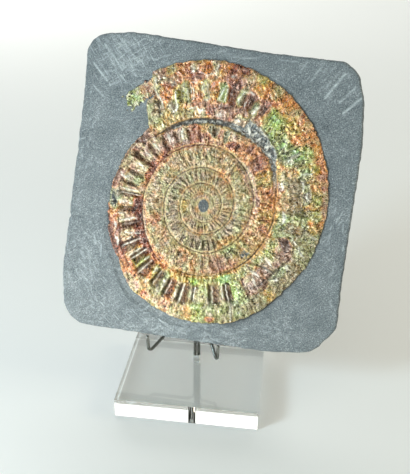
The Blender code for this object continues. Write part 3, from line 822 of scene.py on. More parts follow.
# ---------------------------------------------------------------- where the lustre lies on the shell
# angle, radius, half angle, half radius, play of colour, paleness, dullness
LUSTRE = (
    # the broken mouth and the top, outer band
    (57, 66, 3, 2.5, COPPER + 0.08, 0.0, 0.0),
    (62, 68, 2.5, 2.5, GOLD, 0.6, 0.3),
    (66.5, 66.5, 3.5, 3, ORANGE + 0.08, 0.1, 0.0),
    (70.5, 70, 2, 1.5, OLIVE, 0.3, 0.0),
    (74, 68, 2.5, 3, ORANGE, 0.8, 0.2),
    (79, 70, 3, 2, COPPER, 0.1, 0.2),
    (82.5, 65.5, 3, 1.5, COPPER - 0.02, 0.0, 0.3),
    (86, 68.5, 2.5, 2.5, ORANGE, 0.25, 0.0),
    (89.5, 69, 1.5, 2.5, GOLD, 0.9, 0.2),
    (93.5, 69, 3, 2.5, ORANGE - 0.02, 0.2, 0.0),
    (97.5, 66, 3.5, 1.5, COPPER - 0.02, 0.0, 0.3),
    (99, 69.5, 1.5, 1.5, COPPER, 0.9, 0.1),
    (103.5, 68, 3.5, 3.5, ORANGE - 0.04, 0.15, 0.0),
    (109, 70.5, 3, 1.8, OLIVE - 0.1, 0.15, 0.5),
    (109, 66, 3, 2.5, COPPER, 0.8, 0.2),
    (113.5, 70, 2.5, 2.5, COPPER + 0.04, 0.8, 0.2),
    (117, 67, 1.4, 4, GOLD, 1.0, 0.1),
    (121, 67, 3, 4, COPPER + 0.1, 0.5, 0.7),
    (128, 66, 4, 4, LEAF + 0.04, 0.6, 0.3),
    # the top, between the furrows
    (63, 57.5, 2.5, 3, COPPER - 0.04, 0.0, 0.5),
    (66.9, 55, 1.8, 3, TURQUOISE - 0.1, 0.75, 0.3),
    (70.8, 58, 3, 3, COPPER - 0.04, 0.0, 0.5),
    (75.4, 58.5, 1.8, 3, LEAF, 0.65, 0.3),
    (79, 59, 2, 4.5, COPPER - 0.04, 0.0, 0.4),
    (84.6, 58, 1.8, 3.6, LEAF, 0.5, 0.3),
    (89.3, 56.5, 2.0, 4.5, ORANGE - 0.02, 0.15, 0.0),
    (93.2, 58.5, 1.5, 3.6, OLIVE, 0.35, 0.4),
    (98, 57, 2.8, 4.5, ORANGE - 0.02, 0.2, 0.0),
    (103, 59, 1.6, 4.5, OLIVE + 0.04, 0.35, 0.5),
    (107.6, 57, 2.6, 4, OLIVE - 0.04, 0.15, 0.0),
    (112, 53, 1.8, 2.5, LEAF, 0.85, 0.4),
    (113.5, 60.5, 2.5, 4.5, ORANGE - 0.02, 0.2, 0.2),
    (123, 54, 3.5, 7, OLIVE, 0.65, 0.6),
    (116, 47.5, 9, 3.5, GOLD + 0.05, 0.45, 0.3),
    (75, 51.5, 9, 1.3, COPPER + 0.04, 0.0, 0.8),
    (95, 51.8, 9, 1.2, COPPER + 0.08, 0.0, 0.7),
    (72, 47.3, 3, 1.6, GOLD + 0.03, 0.95, 0.0),
    (77, 48.5, 2, 1.6, COPPER, 0.4, 0.4),
    (84, 48, 4, 2, COPPER + 0.04, 0.85, 0.1),
    (91.5, 48.5, 1.5, 1.5, COPPER - 0.04, 0.0, 0.2),
    (96.5, 48, 3, 2, GOLD, 0.95, 0.0),
    (105, 48, 5, 2.5, OLIVE - 0.04, 0.5, 0.3),
    # upper right
    (8, 62.5, 4, 2, COPPER + 0.08, 0.9, 0.1),
    (17, 63, 5, 2.5, COPPER + 0.08, 0.65, 0.0),
    (26, 64.5, 4, 2.5, ORANGE + 0.02, 0.35, 0.0),
    (23.5, 61, 2, 1.3, GOLD + 0.08, 0.0, 0.0),
    (32, 59, 2.5, 2, OLIVE + 0.06, 0.0, 0.1),
    (37, 63, 3.5, 4, ORANGE + 0.05, 0.3, 0.0),
    (41.5, 57.5, 3, 2.5, ORANGE, 0.1, 0.0),
    (44, 66, 3, 3, ORANGE + 0.01, 0.4, 0.0),
    (47, 60.5, 3, 2.5, GOLD + 0.02, 0.1, 0.0),
    (52, 66, 4, 3, ORANGE + 0.08, 0.45, 0.0),
    (33, 52, 4, 4, TURQUOISE - 0.06, 0.6, 0.0),
    (40.5, 52, 3.5, 3.5, LEAF + 0.08, 0.6, 0.0),
    (50, 52, 4.5, 3.5, LEAF - 0.04, 0.45, 0.1),
    (55, 56.5, 5, 3, OLIVE + 0.1, 0.2, 0.0),
    (27, 49, 2.2, 4.5, GOLD - 0.02, 0.3, 0.1),
    # right
    (14, 53.5, 5, 1.3, LEAF, 1.0, 0.2),
    (22, 55.3, 2, 2, LEAF + 0.08, 0.7, 0.0),
    (15, 47, 7, 3, OLIVE - 0.1, 0.0, 0.9),
    (4, 46.5, 2, 2.5, OLIVE - 0.1, 0.0, 0.7),
    (-1, 47, 3, 4, LEAF - 0.08, 0.0, 0.5),
    (9, 59, 3, 2, OLIVE + 0.02, 0.0, 0.2),
    (17, 57.5, 5, 2.5, GOLD - 0.08, 0.0, 0.3),
    (-4.5, 58, 2.5, 2, GOLD - 0.1, 0.0, 0.0),
    (1, 57.5, 2, 1.8, OLIVE + 0.06, 0.6, 0.0),
    (5, 57, 1.5, 3, GOLD - 0.04, 0.1, 0.1),
    (19.5, 42, 2.5, 1.2, COPPER + 0.05, 1.0, 0.0),
    (25, 43.5, 3, 1.6, LEAF - 0.1, 0.7, 0.0),
    (31, 43.5, 3, 2, GOLD - 0.06, 0.1, 0.1),
    (9, 42.5, 5, 2.2, GOLD - 0.06, 0.3, 0.3),
    (-5, 41.5, 4, 1.5, LEAF, 0.6, 0.1),
    (-12, 43, 3.5, 3, LEAF - 0.02, 0.1, 0.6),
    (-9, 45.5, 3, 2.0, OLIVE - 0.1, 0.0, 0.8),
    (-20.5, 47.8, 1.8, 1.6, COPPER, 0.0, 1.0),
    (-18, 45, 1.8, 1.8, COPPER, 0.0, 1.0),
    (-26, 47, 3, 4, COPPER + 0.08, 0.6, 0.8),
    (-18, 56, 9, 4, OLIVE + 0.08, 0.5, 0.7),
    (-33, 56.5, 5, 3, GOLD + 0.04, 0.2, 0.9),
    (-42, 56.5, 4, 3, OLIVE, 0.3, 0.8),
    (-48, 57, 2.5, 2.2, GOLD, 0.0, 0.2),
    (-55, 57, 3, 3, OLIVE, 0.3, 0.8),
    (-36, 52.5, 5, 1.8, LEAF + 0.1, 0.9, 0.5),
    (-50, 47, 5, 4.5, COPPER + 0.04, 0.75, 0.8),
    (-43.5, 45, 1.2, 3.5, COPPER + 0.1, 0.0, 0.8),
    (-37, 46, 4, 4, COPPER + 0.07, 0.6, 0.8),
    (-30, 43.5, 2.5, 2, OLIVE - 0.04, 0.2, 0.2),
    (-26, 41.5, 5, 1.6, LEAF - 0.1, 0.5, 0.0),
    (-45, 41, 12, 1.6, LEAF - 0.08, 0.6, 0.1),
    # left, plates between the furrows
    (121, 38, 2.5, 4, COPPER + 0.04, 0.9, 0.3),
    (132.5, 38.8, 3, 3.8, COPPER + 0.04, 0.9, 0.2),
    (142, 38.8, 3, 3.8, COPPER, 0.85, 0.15),
    (153.5, 38.8, 4, 3.8, COPPER + 0.04, 0.9, 0.25),
    (164, 38.8, 3, 3.8, LEAF, 0.9, 0.3),
    (172.5, 38.5, 2, 5, GOLD, 0.9, 0.3),
    (184, 40, 4, 3.5, ORANGE + 0.1, 0.75, 0.0),
    (194.8, 41, 1.8, 4, GOLD - 0.1, 0.95, 0.1),
    (205, 43, 4.5, 3, COPPER + 0.02, 0.8, 0.15),
    (185, 34.6, 7, 2.2, WINE, 0.0, 0.0),
    (197, 35.2, 6, 2.2, WINE, 0.0, 0.0),
    (208, 36.4, 6, 2.2, WINE + 0.03, 0.0, 0.0),
    (219, 37.2, 6, 2.1, WINE + 0.09, 0.0, 0.0),
    (231, 38.2, 6, 2.0, COPPER, 0.0, 0.1),
    (135, 32.8, 12, 1.8, COPPER - 0.03, 0.15, 0.0),
    (155, 32.6, 10, 1.8, COPPER, 0.2, 0.1),
    (140, 46.5, 8, 2.5, COPPER, 0.5, 0.6),
    (152, 46, 5, 3, GOLD, 0.45, 0.8),
    (163, 47, 6, 2.5, COPPER + 0.06, 0.7, 0.4),
    (172, 48.5, 3, 1.5, COPPER, 0.5, 0.2),
    (178, 47.5, 4, 2, TURQUOISE, 0.5, 1.0),
    (192, 50, 3, 2, ORANGE - 0.06, 0.2, 0.2),
    (202, 52.3, 10, 1.5, COPPER - 0.06, 0.0, 0.5),
    (205, 49.0, 6, 1.4, COPPER - 0.02, 0.5, 0.3),
    (199, 47.5, 2, 1.2, COPPER - 0.04, 0.3, 0.0),
    (221, 51.5, 7, 2, ORANGE - 0.06, 0.25, 0.2),
    # bottom, ridges between the furrows
    (218, 43.8, 1.5, 4, GOLD - 0.02, 0.6, 0.0),
    (227.8, 41, 1.2, 4, OLIVE + 0.02, 0.4, 0.0),
    (225.5, 45.5, 1.5, 2.5, OLIVE, 0.1, 0.0),
    (238.3, 41.5, 1.6, 3.5, GOLD + 0.08, 0.5, 0.0),
    (235.5, 47.5, 2, 2, ORANGE - 0.04, 0.0, 0.0),
    (236, 51.3, 4, 2, GOLD, 0.6, 0.1),
    (247, 46, 1.8, 6, LEAF, 0.75, 0.4),
    (254, 47, 2, 5, ORANGE - 0.04, 0.0, 0.0),
    (257.6, 46.5, 1.2, 5, GOLD + 0.06, 0.9, 0.2),
    (266.8, 47, 0.9, 4, OLIVE, 0.6, 0.3),
    (275.5, 47, 2.5, 5, LEAF - 0.04, 0.7, 0.1),
    (287, 47, 1.2, 5, GOLD + 0.1, 0.8, 0.3),
    (297.5, 46, 2.5, 5, LEAF, 0.5, 0.1),
    (254, 39, 7, 2, GOLD + 0.04, 0.3, 0.0),
    (268, 39.5, 2.2, 1.5, LEAF + 0.04, 0.0, 0.0),
    (277, 38.8, 5, 2, OLIVE + 0.04, 0.5, 0.0),
    (291.5, 39, 4, 2, LEAF + 0.1, 0.35, 0.0),
    (231, 56.5, 3, 2, COPPER, 0.9, 0.2),
    (241.5, 57, 1.5, 1.5, COPPER + 0.08, 0.4, 0.0),
    (246, 56, 4, 3, GOLD + 0.04, 0.7, 0.35),
    (253.5, 56.5, 2.2, 2, COPPER + 0.02, 0.6, 0.2),
    (260, 57, 4, 2.5, GOLD + 0.04, 0.65, 0.4),
    (267, 56.5, 1.5, 2, GOLD - 0.04, 0.1, 0.4),
    (271, 56, 3, 3, LEAF - 0.06, 0.4, 0.2),
    (280, 56, 5, 3.5, LEAF - 0.02, 0.6, 0.6),
    (278, 59.5, 1.5, 1, COPPER, 0.5, 0.0),
    (294, 56, 5, 4, LEAF - 0.02, 0.5, 0.7),
    # along the seam at the bottom
    (238, 38.6, 9, 0.7, ORANGE, 0.3, 0.0),
    (256, 37.7, 9, 0.6, ORANGE + 0.07, 0.35, 0.0),
    (276, 37.4, 10, 0.6, GOLD - 0.03, 0.4, 0.0),
    (297, 37.0, 8, 0.6, GOLD, 0.3, 0.0),
    # second whorl
    (14, 33, 10, 4, ORANGE + 0.02, 0.1, 0.15),
    (-3, 33, 7, 4, GOLD - 0.04, 0.1, 0.1),
    (-18, 32, 6, 3, COPPER + 0.1, 0.3, 0.3),
    (30, 34, 6, 4, OLIVE - 0.04, 0.3, 0.0),
    (45, 36, 14, 4, COPPER + 0.04, 0.1, 0.3),
    (55, 33.3, 4, 1.5, ORANGE + 0.08, 0.0, 0.0),
    (71.5, 38, 2, 1.6, COPPER + 0.08, 0.9, 0.3),
    (75, 37.5, 1.6, 1.6, OLIVE + 0.1, 0.1, 1.0),
    (68, 34.3, 3, 1.3, COPPER, 0.0, 0.0),
    (86, 38, 2.4, 2.0, OLIVE - 0.06, 0.0, 1.0),
    (81, 35.5, 2, 2, COPPER, 0.5, 0.2),
    (93, 33.5, 3, 2, COPPER - 0.02, 0.5, 0.0),
    (87, 32.5, 3, 1.5, COPPER + 0.05, 0.5, 0.0),
    (102, 36, 3, 4, COPPER + 0.04, 0.35, 0.2),
    (110.5, 36, 2.5, 3.5, COPPER, 0.9, 0.4),
    (105, 32, 12, 1.3, COPPER - 0.02, 0.3, 0.0),
    (120, 28, 30, 4, GOLD + 0.02, 0.6, 0.4),
    (180, 27, 30, 4, GOLD + 0.03, 0.6, 0.4),
    (230, 30, 25, 4, GOLD, 0.6, 0.35),
    (201, 27, 5, 2, COPPER + 0.08, 0.2, 0.2),
    (252, 25.5, 6, 2, GOLD - 0.06, 0.1, 0.2),
    (265, 31, 14, 4, GOLD, 0.5, 0.3),
    (264, 31.5, 2.5, 2, ORANGE, 0.0, 0.1),
    (288, 31, 12, 4, COPPER + 0.06, 0.5, 0.3),
    (305, 27, 8, 3, LEAF - 0.08, 0.4, 0.1),
    (335, 31, 14, 4, GOLD - 0.02, 0.15, 0.4),
    (42, 28.8, 10, 1.3, COPPER, 0.95, 0.2),
    (20, 27.5, 14, 1.5, COPPER, 0.85, 0.1),
    (350, 26, 14, 2, ORANGE, 0.7, 0.0),
    # inner whorls
    (15, 21, 30, 3, OLIVE - 0.04, 0.5, 0.2),
    (90, 22, 35, 3, GOLD + 0.05, 0.5, 0.5),
    (60, 19.5, 14, 1.5, ORANGE + 0.06, 0.3, 0.1),
    (170, 18, 50, 4, OLIVE - 0.02, 0.8, 0.35),
    (262, 21, 25, 3, OLIVE, 1.0, 0.0),
    (308, 22, 10, 1.6, ORANGE + 0.08, 0.1, 0.0),
    (330, 18, 25, 3, OLIVE - 0.04, 0.75, 0.3),
    (185, 11, 12, 1.5, OLIVE - 0.04, 0.1, 0.0),
    (30, 8, 40, 2, GOLD + 0.04, 0.7, 0.0),
    (0, 13, 360, 3, GOLD + 0.03, 0.6, 0.35),
    (210, 8, 60, 4, GOLD + 0.02, 0.8, 0.0),
    (0, 4.6, 360, 0.8, GOLD + 0.04, 1.0, 0.0),
)

# Cracks: a broken line of (angle, radius), its width, darkness and depth
CRACKS = (
    (((131, 47.6), (145, 48.6), (158, 48.9), (170, 49.2), (184, 49.6)), 0.5, 0.7, 0.3),
    (((184, 50.2), (191, 51.6), (199, 52.7), (209, 53), (219, 53.8), (229, 55.6)),
     0.6, 0.8, 0.4),
    (((190, 45.6), (198, 46.2), (205, 47.4), (213, 50), (220, 50.6), (228, 51.6)),
     0.4, 0.85, 0.5),
    (((130, 44), (136, 44.6), (149, 44.2), (158, 44.8), (166, 45.4), (176, 44.8)),
     0.4, 0.6, 0.3),
    (((36.8, 45.6), (34, 52.4), (33.7, 58), (35, 64)), 0.35, 0.8, 0.4),
    (((12.9, 50.8), (7.8, 54), (4.1, 59.7), (4.4, 63)), 0.35, 0.9, 0.4),
    (((7.3, 49.9), (1, 50.5), (-5.2, 51.7)), 0.35, 0.7, 0.4),
    (((-45.2, 37.2), (-42, 40.5), (-39.6, 43.5), (-37, 49.5), (-31.5, 51), (-23, 52.7)),
     0.45, 0.9, 0.6),
    (((-54.3, 48.9), (-49, 50), (-44.3, 49.6), (-34.7, 50.4)), 0.5, 0.9, 0.6),
    (((-23, 48.6), (-19.5, 47.4), (-16, 44.8)), 1.1, 0.45, 0.5),
    (((70, 45.2), (80, 44.9), (92, 44.6), (104, 44.9), (117, 44), (128, 43.9)), 0.5, 0.95, 0.5),
    (((38, 46.8), (45, 47.6), (55, 49.2), (62, 50.4), (66.5, 50.8), (67.5, 46.5)), 0.45, 0.9, 0.5),
    (((118.3, 63), (118.8, 60.5), (118.2, 58), (119.6, 55), (121.2, 51)), 0.55, 1, 0.9),
    (((77, 71.5), (78.8, 66), (79.6, 62.5), (82.5, 58)), 0.32, 0.9, 0.5),
    (((35, 62.5), (36.5, 58), (37, 53), (38.5, 49), (38.3, 45.5)), 0.3, 0.8, 0.5),
    (((22, 64), (24.5, 58), (25, 52)), 0.25, 0.6, 0.4),
    (((5, 62), (7.5, 58), (9.5, 54.5), (15, 54.8), (21, 53.5)), 0.28, 0.8, 0.5),
    (((-8, 56), (-3, 53), (3, 51), (9, 52)), 0.25, 0.6, 0.4),
    (((289, 63), (290.5, 58), (291.5, 52), (293, 45)), 0.3, 0.9, 0.6),
    (((300.5, 61), (301.5, 57), (303, 52), (302.5, 47), (303.5, 42.5)), 0.35, 0.7, 0.5),
    (((303, 55), (308, 53.3), (313, 53), (317, 50.5), (321.5, 52.5), (326, 51), (331, 50.3)),
     0.45, 0.95, 0.8),
    (((322, 51), (324.5, 47), (323, 43)), 0.3, 0.7, 0.4),
    (((341, 49), (344, 46), (344, 41.5)), 0.3, 0.7, 0.4),
    (((344, 53.5), (350, 53), (356, 54)), 0.3, 0.6, 0.4),
    (((169, 46), (172, 45.8), (178, 45.4)), 0.3, 0.8, 0.4),
    (((130, 45), (138, 44.6), (149, 44.8)), 0.28, 0.7, 0.4),
    (((100, 66), (97, 65.3), (92, 66)), 0.25, 0.6, 0.4),
    (((48, 50), (46.5, 56), (47.5, 62)), 0.22, 0.5, 0.3),
    (((176, 50), (178, 48), (186, 47)), 0.5, 0.8, 0.4),
    (((255, 36), (275, 35.8), (295, 36.2), (315, 36.5), (328, 36)), 0.35, 0.7, 0.3),
    (((197, 47.5), (204, 47.3), (211, 49.8)), 0.3, 0.7, 0.5),
    (((68.6, 55), (69, 58.5), (71, 60.8), (73.4, 59.8), (74, 55.5)), 0.5, 0.8, 0.4),
    (((62, 56), (62.6, 59), (64.8, 60.6)), 0.4, 0.7, 0.3),
    (((118.7, 61.9), (120.3, 59.4), (119.3, 57.2), (118.6, 55.8), (121.4, 50.2)), 0.35, 1, 0.6),
    (((77, 69.8), (78.3, 67), (79, 64.5)), 0.5, 0.8, 0.4),
    (((102, 49.6), (104, 48.9), (106, 50)), 0.6, 0.8, 0.3),
    (((80, 51.6), (84, 51.2), (89, 51.8)), 0.7, 0.5, 0.3),
    (((103, 43.8), (106, 43), (110, 43.7), (116, 43.4), (125, 43.2)), 0.6, 1, 0.5),
    (((78, 44.2), (82, 42.7), (86, 43), (88.5, 44.6)), 0.45, 0.9, 0.4),
    (((89, 44.6), (91, 43.2), (93, 44.8)), 0.6, 0.9, 0.4),
    (((40.2, 44.4), (43, 45.3), (46.6, 44.8)), 0.4, 0.9, 0.4),
    (((49.6, 43.6), (51.6, 46.4), (53.4, 44)), 0.35, 0.8, 0.4),
    (((56.4, 44.2), (58.2, 42.4)), 0.4, 0.8, 0.3),
    (((45, 47.8), (52, 48.9), (60, 50), (66, 50.6)), 0.5, 0.9, 0.5),
    (((250, 36.9), (256, 36.6), (263, 36.8), (268, 36.2)), 0.4, 0.5, 0.3),
    (((107.6, 62.2), (109.2, 64.6), (109.9, 62.4)), 0.35, 0.9, 0.4),
)

# Thin lit edges: a broken line of (angle, radius), its width, strength and height
LIT_EDGES = (
    (((72, 57.3), (72.4, 54)), 0.3, 0.8, 0.2),
    (((69, 61.6), (71.5, 62.3), (74.5, 60.8)), 0.4, 0.7, 0.2),
    (((65, 58.5), (65.6, 55.5), (66.3, 53.6)), 0.6, 0.7, 0.2),
    (((75, 60), (75.8, 57.5), (75.5, 55)), 0.5, 0.7, 0.2),
    (((82.4, 60.8), (82.8, 57.5), (83.2, 54.5)), 0.3, 0.8, 0.2),
    (((84.2, 61.6), (84.8, 59), (85.8, 56), (86, 54.6)), 0.45, 0.9, 0.3),
    (((90.8, 67.2), (92, 65.9), (93.5, 66), (94.6, 67.2)), 0.35, 1, 0.3),
    (((94.6, 62.4), (94.2, 59.5), (94.3, 56.5)), 0.3, 0.8, 0.2),
    (((92.6, 62.8), (92.4, 58), (91.9, 55)), 0.3, 0.7, 0.2),
    (((99.7, 60.2), (99.6, 57), (99.8, 54.5)), 0.3, 0.9, 0.2),
    (((102.3, 60), (102.8, 57.5), (102.6, 55.5)), 0.35, 0.9, 0.2),
    (((104, 63), (104.4, 59)), 0.3, 0.6, 0.2),
    (((108.5, 60.5), (109.1, 57.5), (109.4, 54.5), (110, 52), (111.2, 50.5), (112.6, 50.7), (113.1, 52.8)),
     0.4, 1, 0.3),
    (((117.9, 63.2), (117, 60.5), (116.8, 57.5), (117.3, 54)), 0.4, 1, 0.3),
    (((115.6, 70.2), (116.3, 66.5)), 0.5, 0.8, 0.2),
    (((117.3, 66.4), (118.3, 63.6)), 0.4, 0.9, 0.2),
    (((108, 65.6), (108.9, 62.8)), 0.3, 0.9, 0.2),
    (((96.6, 62.6), (99.8, 63)), 0.3, 0.8, 0.2),
    (((80.8, 67.2), (82.6, 66.6)), 0.5, 0.8, 0.2),
    (((88.3, 72), (89.3, 68.5)), 0.6, 0.7, 0.2),
    (((98.3, 70.2), (99.4, 68.3)), 0.6, 0.7, 0.2),
    (((91, 54.5), (93, 53.6), (94.6, 53.9)), 0.3, 0.8, 0.2),
    (((98, 50.6), (103, 50.2)), 0.3, 0.8, 0.2),
    (((94, 48.7), (97.6, 49)), 0.8, 0.9, 0.3),
    (((71, 46.9), (73.8, 46.6)), 0.9, 0.7, 0.3),
    (((83, 47.6), (86.5, 46.4)), 0.8, 0.6, 0.2),
    (((46.3, 46.6), (48.4, 43.4)), 0.6, 0.9, 0.3),
    (((41.3, 43.3), (44.4, 42.5)), 0.5, 0.8, 0.2),
    (((54.3, 45.7), (55.6, 42.4)), 0.4, 0.8, 0.2),
    (((58.3, 46.7), (60.2, 44.4)), 0.5, 0.8, 0.2),
    (((61.4, 43.4), (65.6, 46.9)), 0.7, 0.9, 0.3),
    (((40, 45.5), (43.2, 46.1)), 0.4, 0.7, 0.2),
    (((51.8, 48.2), (56.2, 47.6)), 0.4, 0.8, 0.2),
    (((68, 42.8), (72, 43.7)), 0.4, 0.6, 0.1),
    (((82, 43.4), (86.5, 44.2)), 0.4, 0.7, 0.1),
    (((96, 42.9), (100, 43.6)), 0.35, 0.6, 0.1),
    (((110, 42.6), (116.5, 42.3)), 0.3, 0.7, 0.1),
    (((195, 44.6), (195.4, 41), (195, 37.2), (196.8, 36.2)), 0.55, 1, 0.3),
    (((190, 46.2), (190.7, 41.8)), 0.5, 0.8, 0.2),
    (((182.6, 44.4), (182, 40.8)), 0.9, 0.7, 0.2),
    (((184.2, 39.2), (182.4, 37.4)), 0.8, 0.5, 0.2),
    (((203.5, 44.7), (206, 41), (208.9, 36.8)), 0.3, 0.9, 0.2),
    (((203.8, 50.2), (207, 49.4), (209.6, 51)), 0.8, 0.8, 0.2),
    (((195.3, 48.5), (199.2, 48)), 0.7, 0.8, 0.2),
    (((209.6, 44.2), (207.4, 40.8)), 0.5, 0.6, 0.2),
    (((219, 48.2), (219, 43), (219.4, 39.2)), 0.5, 0.8, 0.2),
    (((227.8, 42.8), (228.2, 39.2)), 0.5, 0.8, 0.2),
    (((237.5, 51.8), (238.1, 48.3)), 0.6, 0.6, 0.2),
    (((238.3, 44.2), (238.6, 40.8)), 0.6, 0.7, 0.2),
    (((248.2, 48.3), (248.5, 43.3)), 0.7, 0.6, 0.2),
    (((257.8, 51.2), (257.6, 45.8)), 0.4, 0.8, 0.2),
    (((267.4, 49.5), (267.8, 43.5)), 0.3, 0.8, 0.2),
    (((278.6, 53), (277.6, 47)), 0.3, 0.7, 0.2),
    (((287.3, 49.8), (288, 46), (288.8, 42.6)), 0.4, 0.8, 0.2),
    (((288.5, 62.2), (290, 57), (291, 52.6)), 0.3, 0.7, 0.3),
    (((-45.4, 46.4), (-47.6, 41.8)), 0.6, 0.8, 0.3),
    (((-50.6, 50.2), (-49.4, 45)), 0.4, 0.8, 0.2),
    (((-38.4, 49.2), (-39.6, 42.8)), 0.5, 0.8, 0.3),
    (((-35.2, 46.8), (-33.4, 41.8)), 0.7, 0.9, 0.3),
    (((-40.4, 52.2), (-38.4, 54.2)), 0.5, 0.8, 0.2),
    (((-31.8, 54.2), (-29.2, 52.4)), 0.7, 0.8, 0.2),
    (((-16.8, 53.2), (-19.5, 55), (-21.2, 57.8)), 0.5, 0.7, 0.2),
    (((-9.8, 56.6), (-10.6, 60.8)), 0.4, 0.7, 0.2),
    (((-13.2, 48.2), (-16.6, 51.6)), 0.35, 0.7, 0.2),
    (((8.4, 54), (11, 53.2), (13.2, 54)), 0.5, 1, 0.3),
    (((13.8, 51.8), (17, 52.6), (20.4, 51.8)), 0.4, 0.8, 0.2),
    (((21.8, 58), (23.2, 53.2)), 0.5, 0.8, 0.2),
    (((33.2, 57.8), (34.4, 51.2)), 0.5, 0.8, 0.2),
    (((-6.8, 42), (-3, 42.4), (1.8, 41.2)), 0.7, 1, 0.3),
    (((16.8, 41.8), (22.2, 42.4)), 0.5, 0.9, 0.2),
    (((195, 31.8), (205, 33), (213, 34.2), (223, 35.4)), 0.4, 0.35, 0.2),
    (((134, 41), (133.4, 37)), 0.6, 0.7, 0.2),
    (((142.4, 41.2), (141.8, 36.8)), 0.6, 0.7, 0.2),
    (((153, 42.2), (152, 38.6), (154.6, 35.4)), 0.5, 0.8, 0.2),
    (((163.4, 47.2), (165.4, 45.4), (163.6, 41)), 0.5, 0.8, 0.2),
    (((172.6, 45.2), (173.4, 40.8), (172.8, 36)), 0.4, 0.8, 0.2),
    (((121.4, 41), (122.4, 37)), 0.7, 0.8, 0.2),
    (((110.8, 40.4), (111.6, 35.4)), 0.7, 0.7, 0.2),
)


def lustre_at(angle, radius):
    """Play of colour, paleness and dullness of each point, from the patches around it."""
    x = radius * np.cos(np.radians(angle))
    y = radius * np.sin(np.radians(angle))
    shaken_angle = angle + 60.0 / np.maximum(radius, 12.0) * 0.8 * rough(x, y, 5.0, 51)
    shaken_radius = radius + 0.8 * rough(x, y, 4.0, 57)
    weights = np.full(angle.shape, 0.02)
    play = weights * GOLD
    pale = weights * 0.4
    dull = weights * 0.3
    for at, out, half_angle, half_radius, colour, paleness, dullness in LUSTRE:
        reach = (turn_from(shaken_angle, at) / half_angle) ** 2 + ((shaken_radius - out) / half_radius) ** 2
        weight = np.exp(-1.2 * reach) * (20.0 / (half_angle * half_radius)) ** 0.7
        weights = weights + weight
        play = play + weight * colour
        pale = pale + weight * paleness
        dull = dull + weight * dullness
    return play / weights, pale / weights, dull / weights


# The grey crescent between the last two whorls, where no shell is left: angle, inner edge, outer edge
BARE_CRESCENT = np.array((
    (2.0, 36.3, 36.4),
    (12.0, 36.8, 37.6),
    (20.0, 37.3, 39.3),
    (30.0, 39.0, 41.4),
    (36.0, 40.6, 43.4),
    (40.0, 41.2, 46.2),
    (50.0, 41.4, 47.6),
    (60.0, 41.6, 49.2),
    (66.0, 41.4, 50.0),
    (67.5, 41.8, 45.4),
    (75.0, 42.0, 44.6),
    (100.0, 42.2, 44.8),
    (118.0, 42.6, 44.0),
)).T


def bare_matrix(angle, radius):
    """1 where no shell is left on the whorl and grey matrix shows."""
    ragged = 0.6 * rough(angle, radius, 3.0, 61)
    stations, inner, outer = BARE_CRESCENT
    low = np.interp(angle, stations, inner) + ragged
    high = np.interp(angle, stations, outer) + ragged
    crescent = ease(radius, low - 0.3, low + 0.3) * fade(radius, high - 0.3, high + 0.3)
    crescent = crescent * ease(angle, 6.0, 34.0) * fade(angle, 116.0, 122.0)
    lower_right = bump_at(angle, 315.5, 6.0) * bump_at(radius, 33.0, 3.0)
    left_rim = bump_at(angle, 181.0, 7.0) * bump_at(radius, 48.0, 2.2)
    broken = 0.45 * rough(angle * 0.6, radius, 1.5, 63, 2)
    return np.clip(crescent + ease(lower_right + left_rim + broken, 0.6, 0.9), 0.0, 1.0)


def crest_height(radius):
    """Height of a whorl's crest over the slab's face."""
    stations, heights = np.array(CREST_BY_RADIUS).T
    return np.interp(radius, stations, heights)


def lines_at(x, y, lines):
    """How strongly each point lies on one of the ragged lines, and how far they cut or stand there."""
    strongest = np.zeros(x.shape)
    reach_out = np.zeros(x.shape)
    here = np.stack((x, y), axis=-1)
    shaken_x = x + 0.3 * rough(x, y, 1.5, 15)
    shaken_y = y + 0.3 * rough(x, y, 1.5, 16)
    uneven_width = 0.6 + 0.8 * patchy(x, y, 2.0, 18)
    for line, width, strength, relief in lines:
        points = np.array([polar_point(*point) for point in line])
        beside = (here > points.min(axis=0) - 5.0) & (here < points.max(axis=0) + 5.0)
        near = np.flatnonzero(np.all(beside, axis=-1))
        distance, gone = line_distance(shaken_x[near], shaken_y[near], points)
        reach = width * uneven_width[near] * np.sin(np.pi * np.clip(gone, 0.04, 0.96)) ** 0.4
        mark = bump_at(distance, 0.0, np.maximum(reach, 0.05))
        strongest[near] = np.maximum(strongest[near], mark * strength)
        reach_out[near] = np.maximum(reach_out[near], relief * mark)
    return strongest, reach_out


def whorl_height(share, radius, outer, on_rim):
    """Height of the arched whorls over the slab's face, before ribs and texture."""
    crest = crest_height(radius)
    inner_edge = crest * GROOVE_SHARE
    outer_edge = np.where(on_rim, RIM_HEIGHT, crest_height(outer) * GROOVE_SHARE)
    foot = inner_edge + (outer_edge - inner_edge) * share
    arch = np.maximum(1e-9, 1.0 - np.abs(2.0 * share - 1.0) ** 2.6)
    arch = np.where(on_rim & (share > 0.5), arch, arch**0.7)
    return foot + (crest - foot) * arch


def shell_texture(x, y, along, out):
    """Relief of the crumpled nacre, how high each point lies on its crinkles, and its flake's level."""
    level, edge = flakes(x + 1.4 * rough(x, y, 3.0, 3), y + 1.4 * rough(x, y, 3.0, 4), 2.6, 1)
    crinkled = 0.45 * crinkle(x, y, 3.6, 61) + 0.35 * crinkle(x, y, 1.9, 64)
    crinkled = crinkled + 0.20 * crinkle(along, out * 0.35, 2.0, 67)
    layers = (rough(x, y, 5.0, 73, 2) * 4.0) % 1.0
    relief = 1.3 * (crinkled - 0.4) + 0.6 * (level - 0.5) * ease(edge, 0.0, 0.35) + 0.35 * layers
    return relief + 0.10 * rough(x, y, 0.9, 9, 2), crinkled, level


